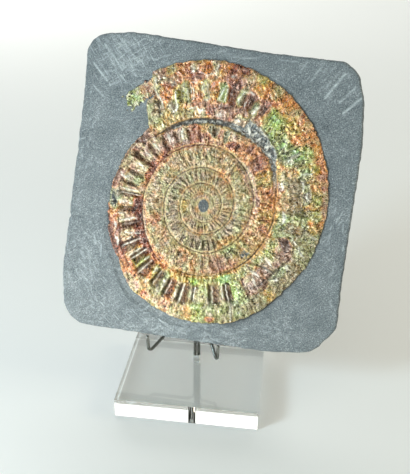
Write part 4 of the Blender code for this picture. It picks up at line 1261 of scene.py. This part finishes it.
def shell_surface(angle, share, radius, outer):
    """Points of the shell's surface, and their painted values."""
    rim_angle = angle - OUTER_TURN_START
    on_rim = rim_angle > RIM_START
    x, y = polar_point(angle, radius)
    round_angle = angle % 360.0
    coil = coil_place(angle, radius)
    along, out, _ = coil.T
    scale = relief_scale(radius)

    furrow, ridge, lip, depth = furrow_at(rim_angle, share)
    height = whorl_height(share, radius, outer, on_rim) + depth * scale * (0.5 * ridge - 0.95 * furrow)
    hollowed, wall, floor, fold = placed_furrows(round_angle, radius, x, y)
    height = height - hollowed
    shown = np.minimum(depth, 1.0)
    worn = np.maximum(furrow * shown, np.maximum(floor, wall))
    relief, crinkled, level = shell_texture(x, y, along, out)
    height = height + scale * relief * (1.0 - 0.7 * worn)

    bare = bare_matrix(round_angle, radius)
    wrinkles = 0.5 * crinkle(along * 0.6, out, 2.4, 13) + 0.5 * crinkle(x, y, 1.9, 64)
    height = height * (1.0 - bare) + bare * (0.95 + 1.3 * (wrinkles - 0.4))
    crack, cut = lines_at(x, y, CRACKS)
    edge_light, raised = lines_at(x, y, LIT_EDGES)
    height = height - cut + raised * (1.0 - crack)

    play, pale, dull = lustre_at(round_angle, radius)
    seam = bump_at(share, 0.0, 0.05) + bump_at(share, 1.0, 0.04) * np.where(on_rim, 0.0, 1.0)
    brown = np.maximum(furrow * shown, floor) * (0.85 + 0.4 * patchy(x, y, 2.4, 21)) + 0.2 * seam
    dark_lip = 0.5 * lip * shown * patchy(x, y, 2.2, 27)
    inner_shade = 0.12 * ease(radius, 7.0, 14.0) * fade(radius, 33.0, 37.0)
    from_seam = np.where(on_rim, share, np.minimum(share, 1.0 - share)) * (outer - groove_radius(angle))
    innermost = (angle < COIL_START + 360.0) * (share < 0.3)
    painted = {
        "play": play + 0.14 * (level - 0.5) + 0.07 * rough(x, y, 2.4, 23, 2),
        # ridges between the regular furrows are painted paler, a painted highlight on their crests
        "pale": pale + 0.5 * ridge * shown + 0.4 * (level - 0.5) + fold,
        "dull": dull,
        "furrow": np.clip(brown, 0.0, 1.0),
        "bare": bare,
        # cracks, painted shade on the placed furrows' near walls, and a darker line along the regular
        # furrows' lips
        "crack": np.maximum(np.maximum(crack, 0.95 * wall), dark_lip),
        "edge_light": np.maximum(edge_light, 0.9 * fold) * (1.0 - crack),
        "ribbed": on_rim * ease(round_angle, 112.0, 124.0) * fade(round_angle, 292.0, 304.0),
        "crisp": fade(radius, 30.0, 38.0),
        "calm": np.zeros(x.shape),
        # painted shade in the crinkles' hollows, and a darker tone over the middle whorls
        "hollow": fade(crinkled, 0.05, 0.38) * (1.0 - worn) + inner_shade,
        # painted highlight on the crinkles' crests and the furrows' folds, and brighter at the middle
        "glint": ease(crinkled, 0.45, 0.85) * (1.0 - worn) + fold + 0.55 * fade(radius, 6.0, 10.0),
        "from_seam": from_seam + 0.22 * fade(radius, 5.0, 11.0) + 0.4 * innermost,
        "coil": coil,
    }
    return np.stack((x, y, height), axis=-1), painted


def add_remnant(skin):
    """The thin ragged sheet left past the broken mouth."""
    angle, radius = np.meshgrid(*(np.linspace(*span) for span in REMNANT_MESH), indexing="ij")
    rows, columns = angle.shape
    angle = angle.ravel()
    radius = radius.ravel()
    x, y = polar_point(angle, radius)
    low, high = REMNANT_RADII
    room = np.minimum((REMNANT_END - angle) / 3.5, np.minimum((radius - low) / 1.2, (high - radius) / 1.2))
    room = np.clip(room, -3.0, 1.0) + 0.9 * rough(x, y, 2.4, 101)
    height = ease(room, -0.15, 0.25) * (0.85 + 0.25 * crinkle(x, y, 1.8, 103)) - 0.45
    level, _ = flakes(x, y, 1.8, 5)
    play, pale, dull = lustre_at(angle, radius)
    painted = dict.fromkeys(("furrow", "crack", "edge_light", "ribbed", "crisp", "calm"), np.zeros(x.shape))
    painted |= {
        "play": play + 0.3 * (level - 0.5),
        "pale": pale + 0.6 * (level - 0.5),
        "dull": dull,
        "bare": fade(room, -0.1, 0.5),
        # painted shade towards the sheet's ragged edge, and painted glints on some flakes
        "hollow": fade(room, 0.0, 0.5),
        "glint": ease(level, 0.6, 0.9),
        "from_seam": np.full(x.shape, 5.0),
        "coil": coil_place(angle, radius),
    }
    top = skin.add(np.stack((x, y, height), axis=-1), painted)
    skin.add(np.stack((x, y, np.full(x.shape, -0.5)), axis=-1), painted)
    index = np.array(top).reshape(rows, columns)
    faces = []
    for near, far in zip(index, index[1:]):
        faces += row_faces(near.tolist(), far.tolist())
    under = len(top)
    faces += [tuple(corner + under for corner in reversed(face)) for face in list(faces)]
    border = np.concatenate((index[:, 0], index[-1, 1:], index[-2::-1, -1], index[0, -2:0:-1])).tolist()
    faces += [(a, b, b + under, a + under) for a, b in zip(border, border[1:] + border[:1])]
    skin.faces += faces


def shell_rows():
    """Rows of point numbers along the coil, and each point's angle and share of the way across its whorl.

    A row starts with the last point of the row one turn further in, so that neighbouring whorls join.
    """
    step = 360.0 / SAMPLES_PER_TURN
    count = round((OUTER_TURN_START + MOUTH_TIP - COIL_START) / step)
    rows = []
    angles = []
    shares = []
    total = 0
    for index in range(count + 1):
        turns_to_end = max(0, (count - index - 1) // SAMPLES_PER_TURN)
        spans = SPANS_ACROSS[max(0, len(SPANS_ACROSS) - 1 - turns_to_end)]
        shared = [rows[index - SAMPLES_PER_TURN][-1]] if index >= SAMPLES_PER_TURN else []
        own = np.linspace(0.0, 1.0, spans + 1)[len(shared):]
        rows.append(shared + list(range(total, total + len(own))))
        total += len(own)
        angles.append(np.full(len(own), COIL_START + index * step))
        shares.append(own)
    return rows, np.concatenate(angles), np.concatenate(shares)


def picked(painted, numbers):
    """The painted values of some points."""
    return {title: values[numbers] for title, values in painted.items()}


def add_grey_middle(skin, ring, paint):
    """The grey oval at the coil's middle, with the last of the shell between it and the first whorl."""
    grey = {title: np.full(len(ring), value) for title, value in GREY_PAINT.items()}
    middle = skin.add([(*COIL_CENTRE, CENTRE_DISC_HEIGHT)], picked(paint | grey, [0]))
    turn = np.linspace(0.0, math.tau, len(ring), endpoint=False)
    for (half_width, half_height), painted in zip(CENTRE_DISC, (paint, paint | grey)):
        across = COIL_CENTRE[0] + half_width * np.cos(turn)
        up = COIL_CENTRE[1] + half_height * np.sin(turn)
        inside = skin.add(np.stack((across, up, np.full(len(ring), CENTRE_DISC_HEIGHT)), axis=-1), painted)
        skin.fill(inside, ring)
        ring = inside
    skin.cap(middle[0], ring)


def add_wall(skin, rim, points, painted):
    """The shell's wall, from its rim down into the slab, and its flat bed."""
    ring = rim
    for level in WALL_LEVELS:
        low = points.copy()
        low[:, 2] = level
        lower = skin.add(low, painted)
        skin.fill(ring, lower)
        ring = lower
    bed = skin.add([(*COIL_CENTRE, SHELL_BED)], picked(painted, [0]))
    skin.cap(bed[0], ring, from_below=True)


def build_shell(finish):
    """The whorls, the grey middle, the wall down into the slab and the thin remnant past the mouth."""
    rows, angle, share = shell_rows()
    inner = groove_radius(angle)
    outer = outer_radius(angle)
    points, painted = shell_surface(angle, share, inner + (outer - inner) * share, outer)
    skin = Skin()
    skin.add(points, painted)
    for near, far in zip(rows, rows[1:]):
        skin.faces += row_faces(near, far)
    middle = [row[0] for row in rows[: SAMPLES_PER_TURN + 1]] + rows[0][-2:0:-1]
    add_grey_middle(skin, middle, picked(painted, middle))
    rim = [row[-1] for row in rows[-SAMPLES_PER_TURN - 1:]] + rows[-1][-2:0:-1]
    add_wall(skin, rim, points[rim], picked(painted, rim))
    add_remnant(skin)
    return skin.leaned_back("ammonite_shell", finish)


# ---------------------------------------------------------------- slab
def rounded_corner(before, corner, after, rounding, steps=9):
    """Points of an arc that rounds a corner between two straight runs."""
    corner = Vector(corner)
    back = (Vector(before) - corner).normalized()
    ahead = (Vector(after) - corner).normalized()
    half = back.angle(ahead) / 2.0
    reach = rounding / math.tan(half)
    middle = corner + (back + ahead).normalized() * rounding / math.sin(half)
    start = corner + back * reach - middle
    end = corner + ahead * reach - middle
    sweep = start.angle(end)
    points = []
    for step in range(steps):
        share = step / (steps - 1)
        weight_start = math.sin((1.0 - share) * sweep) / math.sin(sweep)
        weight_end = math.sin(share * sweep) / math.sin(sweep)
        points.append(middle + start * weight_start + end * weight_end)
    return points


def slab_outline(angle):
    """Points of the slab's outline at these angles around the coil's centre, and their outward directions."""
    corners = [(x, y, 0.0) for x, y, _ in SLAB_CORNERS]
    outline = []
    for index, corner in enumerate(corners):
        after = corners[(index + 1) % len(corners)]
        outline += rounded_corner(corners[index - 1], corner, after, SLAB_CORNERS[index][2])
    line = np.array(outline)[:, :2]
    dense = []
    for near, far in zip(line, np.roll(line, -1, axis=0)):
        dense.append(near + (far - near) * np.linspace(0.0, 1.0, 12)[:-1, None])
    offset = np.concatenate(dense) - COIL_CENTRE
    around = np.degrees(np.arctan2(offset[:, 1], offset[:, 0])) % 360.0
    order = np.argsort(around)
    radius = np.interp(angle % 360.0, around[order], np.hypot(*offset.T)[order], period=360.0)
    points = np.stack(polar_point(angle, radius), axis=-1)
    ahead = np.roll(points, -1, axis=0) - np.roll(points, 1, axis=0)
    ahead /= np.linalg.norm(ahead, axis=1)[:, None]
    return points, np.stack((ahead[:, 1], -ahead[:, 0]), axis=-1)


# Long scratches: start x, start y, end x, end y, width, strength
SCRATCHES = (
    (65.0, 144.6, 56.5, 131.9, 0.45, 1.0),
    (70.7, 137.8, 63.5, 130.2, 0.4, 0.9),
    (74.0, 132.9, 66.0, 125.2, 0.45, 1.0),
    (54.1, 148.7, 48.8, 139.6, 0.35, 0.6),
    (45.8, 149.1, 43.4, 144.1, 0.3, 0.5),
    (60.0, 147.5, 54.5, 140.0, 0.25, 0.4),
    (-58.8, 151.2, -48.1, 138.5, 0.4, 0.8),
    (-50.3, 154.0, -45.1, 148.8, 0.35, 0.7),
    (-42.9, 155.0, -39.9, 151.4, 0.35, 0.6),
    (-64.1, 141.0, -56.4, 132.8, 0.4, 0.8),
    (-63.5, 129.7, -57.4, 124.2, 0.35, 0.6),
    (67.0, 66.0, 63.0, 60.0, 0.3, 0.35),
)


# Places that were worked most: middle x, middle y, spread x, spread y, direction, spread of direction,
# length, how many strokes
WORKED = (
    (-52.0, 144.0, 13.0, 10.0, -50.0, 10.0, 9.0, 46),
    (-50.0, 142.0, 13.0, 9.0, 20.0, 14.0, 7.0, 34),
    (58.0, 138.0, 12.0, 9.0, 52.0, 10.0, 6.0, 14),
    (-30.0, 141.0, 26.0, 8.0, 12.0, 16.0, 7.0, 26),
    (20.0, 150.0, 34.0, 3.0, 2.0, 12.0, 8.0, 16),
    (-66.0, 95.0, 5.0, 30.0, 75.0, 30.0, 6.0, 26),
    (-62.0, 30.0, 9.0, 18.0, -62.0, 18.0, 7.0, 34),
    (-30.0, 10.0, 24.0, 6.0, 25.0, 22.0, 6.0, 24),
    (48.0, 12.0, 18.0, 7.0, -20.0, 25.0, 5.0, 14),
    (70.0, 60.0, 4.0, 34.0, 80.0, 25.0, 5.0, 18),
    (0.0, 75.0, 70.0, 70.0, 40.0, 60.0, 5.0, 50),
    (0.0, 5.0, 24.0, 4.0, 15.0, 30.0, 6.0, 60),
)


def short_strokes():
    """Many short scratches in the worked places, in the same form as the long ones."""
    drawn = []
    rng = np.random.default_rng(91)
    for middle_x, middle_y, spread_x, spread_y, direction, fan, length, many in WORKED:
        for _ in range(many):
            at_x, at_y = rng.normal((middle_x, middle_y), (spread_x * 0.6, spread_y * 0.6))
            turn = math.radians(direction + rng.normal(0.0, fan))
            half = length * rng.uniform(0.3, 0.8) / 2.0
            reach_x = half * math.cos(turn)
            reach_y = half * math.sin(turn)
            strength = rng.uniform(0.12, 0.52)
            drawn.append((at_x - reach_x, at_y - reach_y, at_x + reach_x, at_y + reach_y, 0.4, strength))
    return drawn


def tool_marks(x, y, scratches):
    """How strongly each point is scratched pale."""
    marks = np.zeros(x.shape)
    for ax, ay, bx, by, width, strength in scratches:
        beside_x = (x > min(ax, bx) - 2.0) & (x < max(ax, bx) + 2.0)
        beside_y = (y > min(ay, by) - 2.0) & (y < max(ay, by) + 2.0)
        near = np.flatnonzero(beside_x & beside_y)
        if near.size:
            distance, _ = line_distance(x[near], y[near], ((ax, ay), (bx, by)))
            chalk = 0.5 + 0.5 * patchy(x[near], y[near], 1.2, 71)
            marks[near] = np.maximum(marks[near], strength * bump_at(distance, 0.0, width) * chalk)
    return marks


def face_relief(x, y, angle, gap):
    """Height of the slab's face, and how stained it is, with painted shadow and shade along the shell's rim;
    gap is the distance out from the shell's rim.
    """
    height = 0.16 * rough(x, y, 16.0, 81, 4) + 0.05 * rough(x, y, 2.2, 82) - 0.1
    # the ledge tooled along the shell's lower left
    ledge = np.sin(np.pi * np.clip((angle - LEDGE_START) / (LEDGE_END - LEDGE_START), 0.0, 1.0)) ** 0.7
    ledge_width = 0.8 + 4.6 * ledge
    height = height - 0.6 * ledge * fade(gap, ledge_width * 0.6, ledge_width + 0.4)
    tooled = np.sin((angle * 1.15 + 0.6 * rough(x, y, 6.0, 84)) * 2.0)
    height = height + 0.07 * tooled * ledge * fade(gap, ledge_width, ledge_width + 1.0)
    contact = 0.02 + 0.5 * bump_round(angle, 300.0, 22.0) + 0.3 * bump_round(angle, 190.0, 45.0)
    height = height - contact * bump_at(gap, 0.0, 0.8)
    # the step in the bedding at the left
    step_x = x + 0.5 * rough(x, y, 3.0, 85)
    distance, along = line_distance(step_x, y + 0.5 * rough(x, y, 3.0, 86), STEP_LINE)
    height = height - 0.35 * bump_at(distance, 0.0, 0.45) * (1.0 - 0.5 * along)
    lower = ease(61.5 - y, -1.0, 1.0) * fade(x, -58.0, -50.0) * fade(60.0 - y, 6.0, 34.0)
    height = height - 0.25 * lower
    # faint rings round the shell
    rings = rough(np.hypot(x - COIL_CENTRE[0], y - COIL_CENTRE[1]) * 3.0, angle * 0.4, 4.0, 88, 2)
    height = height + 0.07 * rings * fade(gap, 4.0, 22.0)
    # painted shadow of the shell's rim below and to the right of it, painted shade where the slab meets the
    # rim, a darker line along the step and a darker patch at the left
    below = 0.9 * bump_round(angle, 293.0, 11.0) * bump_at(gap, 0.0, 2.6)
    beside = 1.1 * bump_round(angle, 317.0, 15.0) * bump_at(gap, 0.0, 1.5)
    painted_shadow_and_stain = below * (0.4 + 0.8 * patchy(x, y, 1.5, 89)) + beside * (0.6 + 0.5 * patchy(x, y, 3.0, 87))
    painted_shadow_and_stain = painted_shadow_and_stain + 0.12 * bump_at(x, -66.0, 12.0) * bump_at(y, 108.0, 42.0)
    painted_shadow_and_stain = painted_shadow_and_stain + contact * bump_at(gap, 0.0, 0.6) + 0.6 * bump_at(distance, 0.0, 0.4) * (1.0 - along)
    return height, np.clip(painted_shadow_and_stain, 0.0, 1.0)


def slab_face(x, y, angle, gap, level, scratches):
    """Height of the face and of the rounding at its edge, and their painted values."""
    relief, painted_shadow_and_stain = face_relief(x, y, angle, gap)
    flat = fade(-level, 0.0, SLAB_EDGE_ROUND)
    corner = bump_at(x, -44.0, 22.0) * bump_at(y, 143.0, 16.0)
    low_left = bump_at(x, -58.0, 14.0) * bump_at(y, 28.0, 20.0)
    low_left = low_left + bump_at(x, -30.0, 20.0) * bump_at(y, 8.0, 8.0)
    return level + relief * flat, {
        "scratch": tool_marks(x, y, scratches) * flat,
        "stain": painted_shadow_and_stain,
        "hatched": flat * ease(corner + 0.25 * rough(x, y, 9.0, 98, 2), 0.15, 0.6),
        "combed": flat * ease(low_left + 0.3 * rough(x, y, 8.0, 99, 2), 0.3, 0.8),
    }


def slab_side(x, y, angle, level):
    """Painted values of the side, where the layers of the shale come out."""
    return {
        "scratch": 0.2 * patchy(x, y, 1.5, 94),
        "stain": 0.25 * patchy(angle, 0.0 * x + level * 4.0, 2.0, 95),
        "hatched": np.zeros(x.shape),
        "combed": np.zeros(x.shape),
    }


def slab_back(x, y, level):
    """Height of the split back with its shallow dents, and its painted values."""
    dents = np.maximum(0.0, 0.3 * rough(x, y, 14.0, 96, 2))
    return level + dents * (level == -SLAB_THICKNESS), {
        "scratch": 0.15 * ease(rough(x, y, 12.0, 97, 2), 0.1, 0.6),
        "stain": 0.2 * ease(rough(x, y, 16.0, 98, 2), 0.0, 0.6),
        "hatched": 0.6 * ease(rough(x, y, 20.0, 99, 2), 0.1, 0.5),
        "combed": np.full(x.shape, 0.4),
    }


def slab_rings(inner, edge, outward):
    """Closed rings from the shell's rim over the face and the side to the middle of the back.

    Each has the part of the slab that it lies on, its points, their distance out from the shell's rim, which
    stops at the flat face's edge, and its level under the face.
    """
    flat_edge = edge - outward * SLAB_EDGE_ROUND
    edge_gap = np.hypot(*(flat_edge - inner).T)
    rings = []
    for share in np.linspace(0.0, 1.0, SLAB_ROWS + 1) ** 1.1:
        spot = inner + (flat_edge - inner) * share
        rings.append(("face", spot, np.hypot(*(spot - inner).T), 0.0))
    for turn in np.radians((18.0, 36.0, 54.0, 72.0, 90.0)):
        spot = flat_edge + outward * SLAB_EDGE_ROUND * math.sin(turn)
        rings.append(("face", spot, edge_gap, -SLAB_EDGE_ROUND * (1 - math.cos(turn))))
    side = SLAB_THICKNESS - 2 * SLAB_EDGE_ROUND
    for share in (0.2, 0.4, 0.6, 0.8, 1.0):
        rings.append(("side", edge, edge_gap, -SLAB_EDGE_ROUND - side * share))
    for turn in np.radians((30.0, 60.0, 90.0)):
        spot = flat_edge + outward * SLAB_EDGE_ROUND * math.cos(turn)
        rings.append(("back", spot, edge_gap, -SLAB_THICKNESS + SLAB_EDGE_ROUND * (1 - math.sin(turn))))
    for share in np.linspace(0.97, 0.04, BACK_ROWS):
        spot = COIL_CENTRE + (flat_edge - COIL_CENTRE) * share
        rings.append(("back", spot, edge_gap, -SLAB_THICKNESS))
    return rings


def build_slab(finish):
    """The slab as rings around the coil's centre, with a pocket under the shell."""
    angle = RIM_START + 360.0 / SAMPLES_PER_TURN * np.arange(SAMPLES_PER_TURN)
    round_angle = angle % 360.0
    inner = np.stack(polar_point(angle, rim_radius(angle) + 0.03), axis=-1)
    edge, outward = slab_outline(angle)
    chipped = 0.28 * rough(*edge.T, 5.0, 91, 4) - 0.25
    for x, y, half_width, depth in EDGE_CHIPS:
        chipped -= depth * bump_at(np.hypot(edge[:, 0] - x, edge[:, 1] - y), 0.0, half_width)
    edge = edge + outward * chipped[:, None]
    scratches = [*SCRATCHES, *short_strokes()]
    skin = Skin()
    rings = []
    for part, spot, gap, level in slab_rings(inner, edge, outward):
        x, y = spot.T
        height = level
        if part == "face":
            height, paint = slab_face(x, y, round_angle, gap, level, scratches)
        elif part == "side":
            paint = slab_side(x, y, round_angle, level)
            layers = 0.16 * rough(round_angle * 1.3, 0 * x + level * 3.0, 2.5, 93)
            x, y = (spot + outward * np.minimum(layers, 0.1)[:, None]).T
        else:
            height, paint = slab_back(x, y, level)
        rings.append(skin.add(np.stack((x, y, 0.0 * x + height), axis=-1), paint))
    for near, far in zip(rings, rings[1:]):
        skin.fill(near, far)

    unmarked = dict.fromkeys(paint, np.zeros(len(inner)))
    middle = skin.add([(*COIL_CENTRE, -SLAB_THICKNESS)], picked(unmarked, [0]))
    skin.cap(middle[0], rings[-1], from_below=True)
    pocket = skin.add(np.column_stack((inner, np.full(len(inner), POCKET_FLOOR))), unmarked)
    skin.fill(pocket, rings[0])
    pocket_middle = skin.add([(*COIL_CENTRE, POCKET_FLOOR)], picked(unmarked, [0]))
    skin.cap(pocket_middle[0], pocket)
    return skin.leaned_back("shale_plate", finish)


# ---------------------------------------------------------------- wires
def bent_wire(name, route, bends, finish):
    """A round wire through the route's points, with an arc of a given radius at each bend and eased tips."""
    line = []
    for before, corner, after, rounding in zip(route, route[1:], route[2:], bends):
        line += rounded_corner(before, corner, after, rounding, 12)
    first = Vector(route[0])
    last = Vector(route[-1])
    start = (line[0] - first).normalized() * TIP_ROUND
    end = (line[-1] - last).normalized() * TIP_ROUND
    tips = ((0.0, 0.55), (0.4, 0.85), (1.0, 1.0))  # share of the tip's length, share of the wire's radius
    points = [(first + start * share, thick) for share, thick in tips]
    points += [(point, 1.0) for point in line]
    points += [(last + end * share, thick) for share, thick in reversed(tips)]
    data = bpy.data.curves.new(name, "CURVE")
    data.dimensions = "3D"
    spline = data.splines.new("POLY")
    spline.points.add(len(points) - 1)
    for target, (point, thick) in zip(spline.points, points):
        target.co = (*(point * MM), 1.0)
        target.radius = thick
    data.bevel_depth = WIRE_DIAMETER / 2.0 * MM
    data.bevel_resolution = 6
    data.use_fill_caps = True
    curve = bpy.data.objects.new(name + "_line", data)
    bpy.context.scene.collection.objects.link(curve)
    mesh = bpy.data.meshes.new_from_object(curve.evaluated_get(bpy.context.evaluated_depsgraph_get()))
    bpy.data.objects.remove(curve, do_unlink=True)
    mesh.shade_smooth()
    mesh.materials.clear()
    mesh.materials.append(finish)
    wire = bpy.data.objects.new(name, mesh)
    bpy.context.scene.collection.objects.link(wire)
    return wire


def hook_route(side):
    """A hook's corners, from the block up the post, down the arm and up the prong; side 0 is the left."""
    x = POST_XY[0] + (side - 0.5) * STRAND_PITCH
    foot = (x, POST_XY[1], WIRE_START_Z)
    knee = (x, POST_XY[1], ARM_TOP_Z)
    low = (HOOK_X[side], HOOK_Y, HOOK_LOW_Z)
    tip = (HOOK_X[side] + PRONG_SPLAY * (2 * side - 1), HOOK_Y, PRONG_TIP_Z)
    return (foot, knee, low, tip)


def behind_slab(x, up):
    """A point on the line where a wire lies along the slab's back."""
    lean = math.radians(LEAN_DEG)
    back = SLAB_THICKNESS + WIRE_DIAMETER / 2.0 + TOUCH_GAP
    y = SLAB_FOOT[1] + up * math.sin(lean) + back * math.cos(lean)
    z = SLAB_FOOT[2] + up * math.cos(lean) - back * math.sin(lean)
    return (x, y, z)


def back_rest_route():
    """The hairpin's corners, up from behind the post, round the loop on the slab's back and down again."""
    y = POST_XY[1] + STRAND_PITCH
    meets = (y - behind_slab(0.0, 0.0)[1]) / math.sin(math.radians(LEAN_DEG))
    halves = []
    for sign in (-1, 1):
        x = POST_XY[0] + sign * STRAND_PITCH / 2.0
        wide = POST_XY[0] + sign * REST_HALF_WIDTH
        halves.append([
            (x, y, REST_END_Z),
            behind_slab(x, meets),
            behind_slab(x, REST_OPEN_AT),
            behind_slab(wide, REST_WIDE_AT),
            behind_slab(wide, REST_TOP_AT),
        ])
    left, right = halves
    return left + right[::-1]


# ---------------------------------------------------------------- room
def pale_floor():
    """A wide sheet of pale paper under the stand."""
    finish = Finish("pale_paper")
    mottle = finish.grain(finish.flat_place(), 300.0, 2.0)
    colour = finish.mix(mottle, (0.86, 0.875, 0.87, 1.0), (0.89, 0.90, 0.895, 1.0))
    material = finish.shade(Base_Color=colour, Roughness=0.6, Specular_IOR_Level=0.2)
    half = FLOOR_SIZE / 2.0
    corners = [(x, y, -TOUCH_GAP) for x, y in ((-half, -half), (half, -half), (half, half), (-half, half))]
    floor = solid("floor", np.array(corners), [(0, 1, 2, 3)], {}, material, smooth=False)


# name, place, point it faces, width and height, power, colour; places in metres
LIGHTS = (
    ("window", (-0.58, -0.55, 0.50), (0.0, 0.0, 0.07), (0.2, 0.2), 4.1, (0.66, 0.87, 1.0)),
    ("far_ceiling", (-0.3, 1.25, 0.9), (-0.25, 1.0, 0.0), (3.0, 1.1), 13.9, (1.0, 1.0, 0.96)),
    ("far_left_wall", (-0.9, 1.2, 0.6), (-0.8, 1.0, 0.0), (0.8, 0.5), 4.2, (1.0, 1.0, 1.0)),
    ("lamp", (0.7, 0.1, 0.45), (0.16, 0.12, 0.0), (0.3, 0.3), 1.6, (1.0, 0.90, 0.67)),
    ("table_glow", (-0.20, -0.34, 0.05), (-0.03, 0.0, 0.07), (0.25, 0.08), 1.4, (1.0, 0.99, 0.93)),
)


def soft_light(name, place, aim, size, power, colour):
    """A rectangular lamp that faces a point."""
    data = bpy.data.lights.new(name, "AREA")
    data.shape = "RECTANGLE"
    data.size, data.size_y = size
    data.energy = power
    data.color = colour
    lamp = bpy.data.objects.new(name, data)
    lamp.location = place
    lamp.rotation_euler = (Vector(aim) - Vector(place)).to_track_quat("-Z", "Y").to_euler()
    bpy.context.scene.collection.objects.link(lamp)


def light_room():
    """A dim pale room with its soft lights."""
    world = bpy.data.worlds.new("room")
    world.use_nodes = True
    background = world.node_tree.nodes["Background"]
    background.inputs["Color"].default_value = (0.97, 1.0, 0.90, 1.0)
    background.inputs["Strength"].default_value = 0.26
    bpy.context.scene.world = world
    for light in LIGHTS:
        soft_light(*light)


def place_camera():
    """The camera, in front, above and a little to the right."""
    data = bpy.data.cameras.new("camera")
    data.sensor_width = 36.0
    data.lens = CAMERA_LENS
    data.clip_start = 0.01
    camera = bpy.data.objects.new("camera", data)
    turn = Matrix.Rotation(math.radians(CAMERA_TURN_DEG), 4, "Z")
    tilt = Matrix.Rotation(math.radians(90.0 - CAMERA_DOWN_DEG), 4, "X")
    roll = Matrix.Rotation(math.radians(CAMERA_ROLL_DEG), 4, "Z")
    camera.matrix_world = Matrix.Translation(Vector(CAMERA_PLACE) * MM) @ turn @ tilt @ roll
    bpy.context.scene.collection.objects.link(camera)
    bpy.context.scene.camera = camera


def dress():
    """The finished pieces on the part's nodes."""
    slab = build_slab(shale_finish())
    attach(slab, "root")
    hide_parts("shale_slab")
    shell = build_shell(nacre_finish())
    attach(shell, "root")
    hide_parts("ammonite")
    steel = wire_finish()
    rest_bends = (*REST_BENDS, *reversed(REST_BENDS))
    wires = (
        ("hook_left", "hook_wire_left", hook_route(0), (ARM_BEND, HOOK_BEND)),
        ("hook_right", "hook_wire_right", hook_route(1), (ARM_BEND, HOOK_BEND)),
        ("back_loop", "back_rest_wire", back_rest_route(), rest_bends),
    )
    for name, node, route, bends in wires:
        wire = bent_wire(name, route, bends, steel)
        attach(wire, "root")
        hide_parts(node)
    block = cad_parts["base_block"]
    block.data.materials.clear()
    block.data.materials.append(acrylic_finish())


bpy.context.scene.view_settings.view_transform = "Standard"
dress()
pale_floor()
light_room()
place_camera()
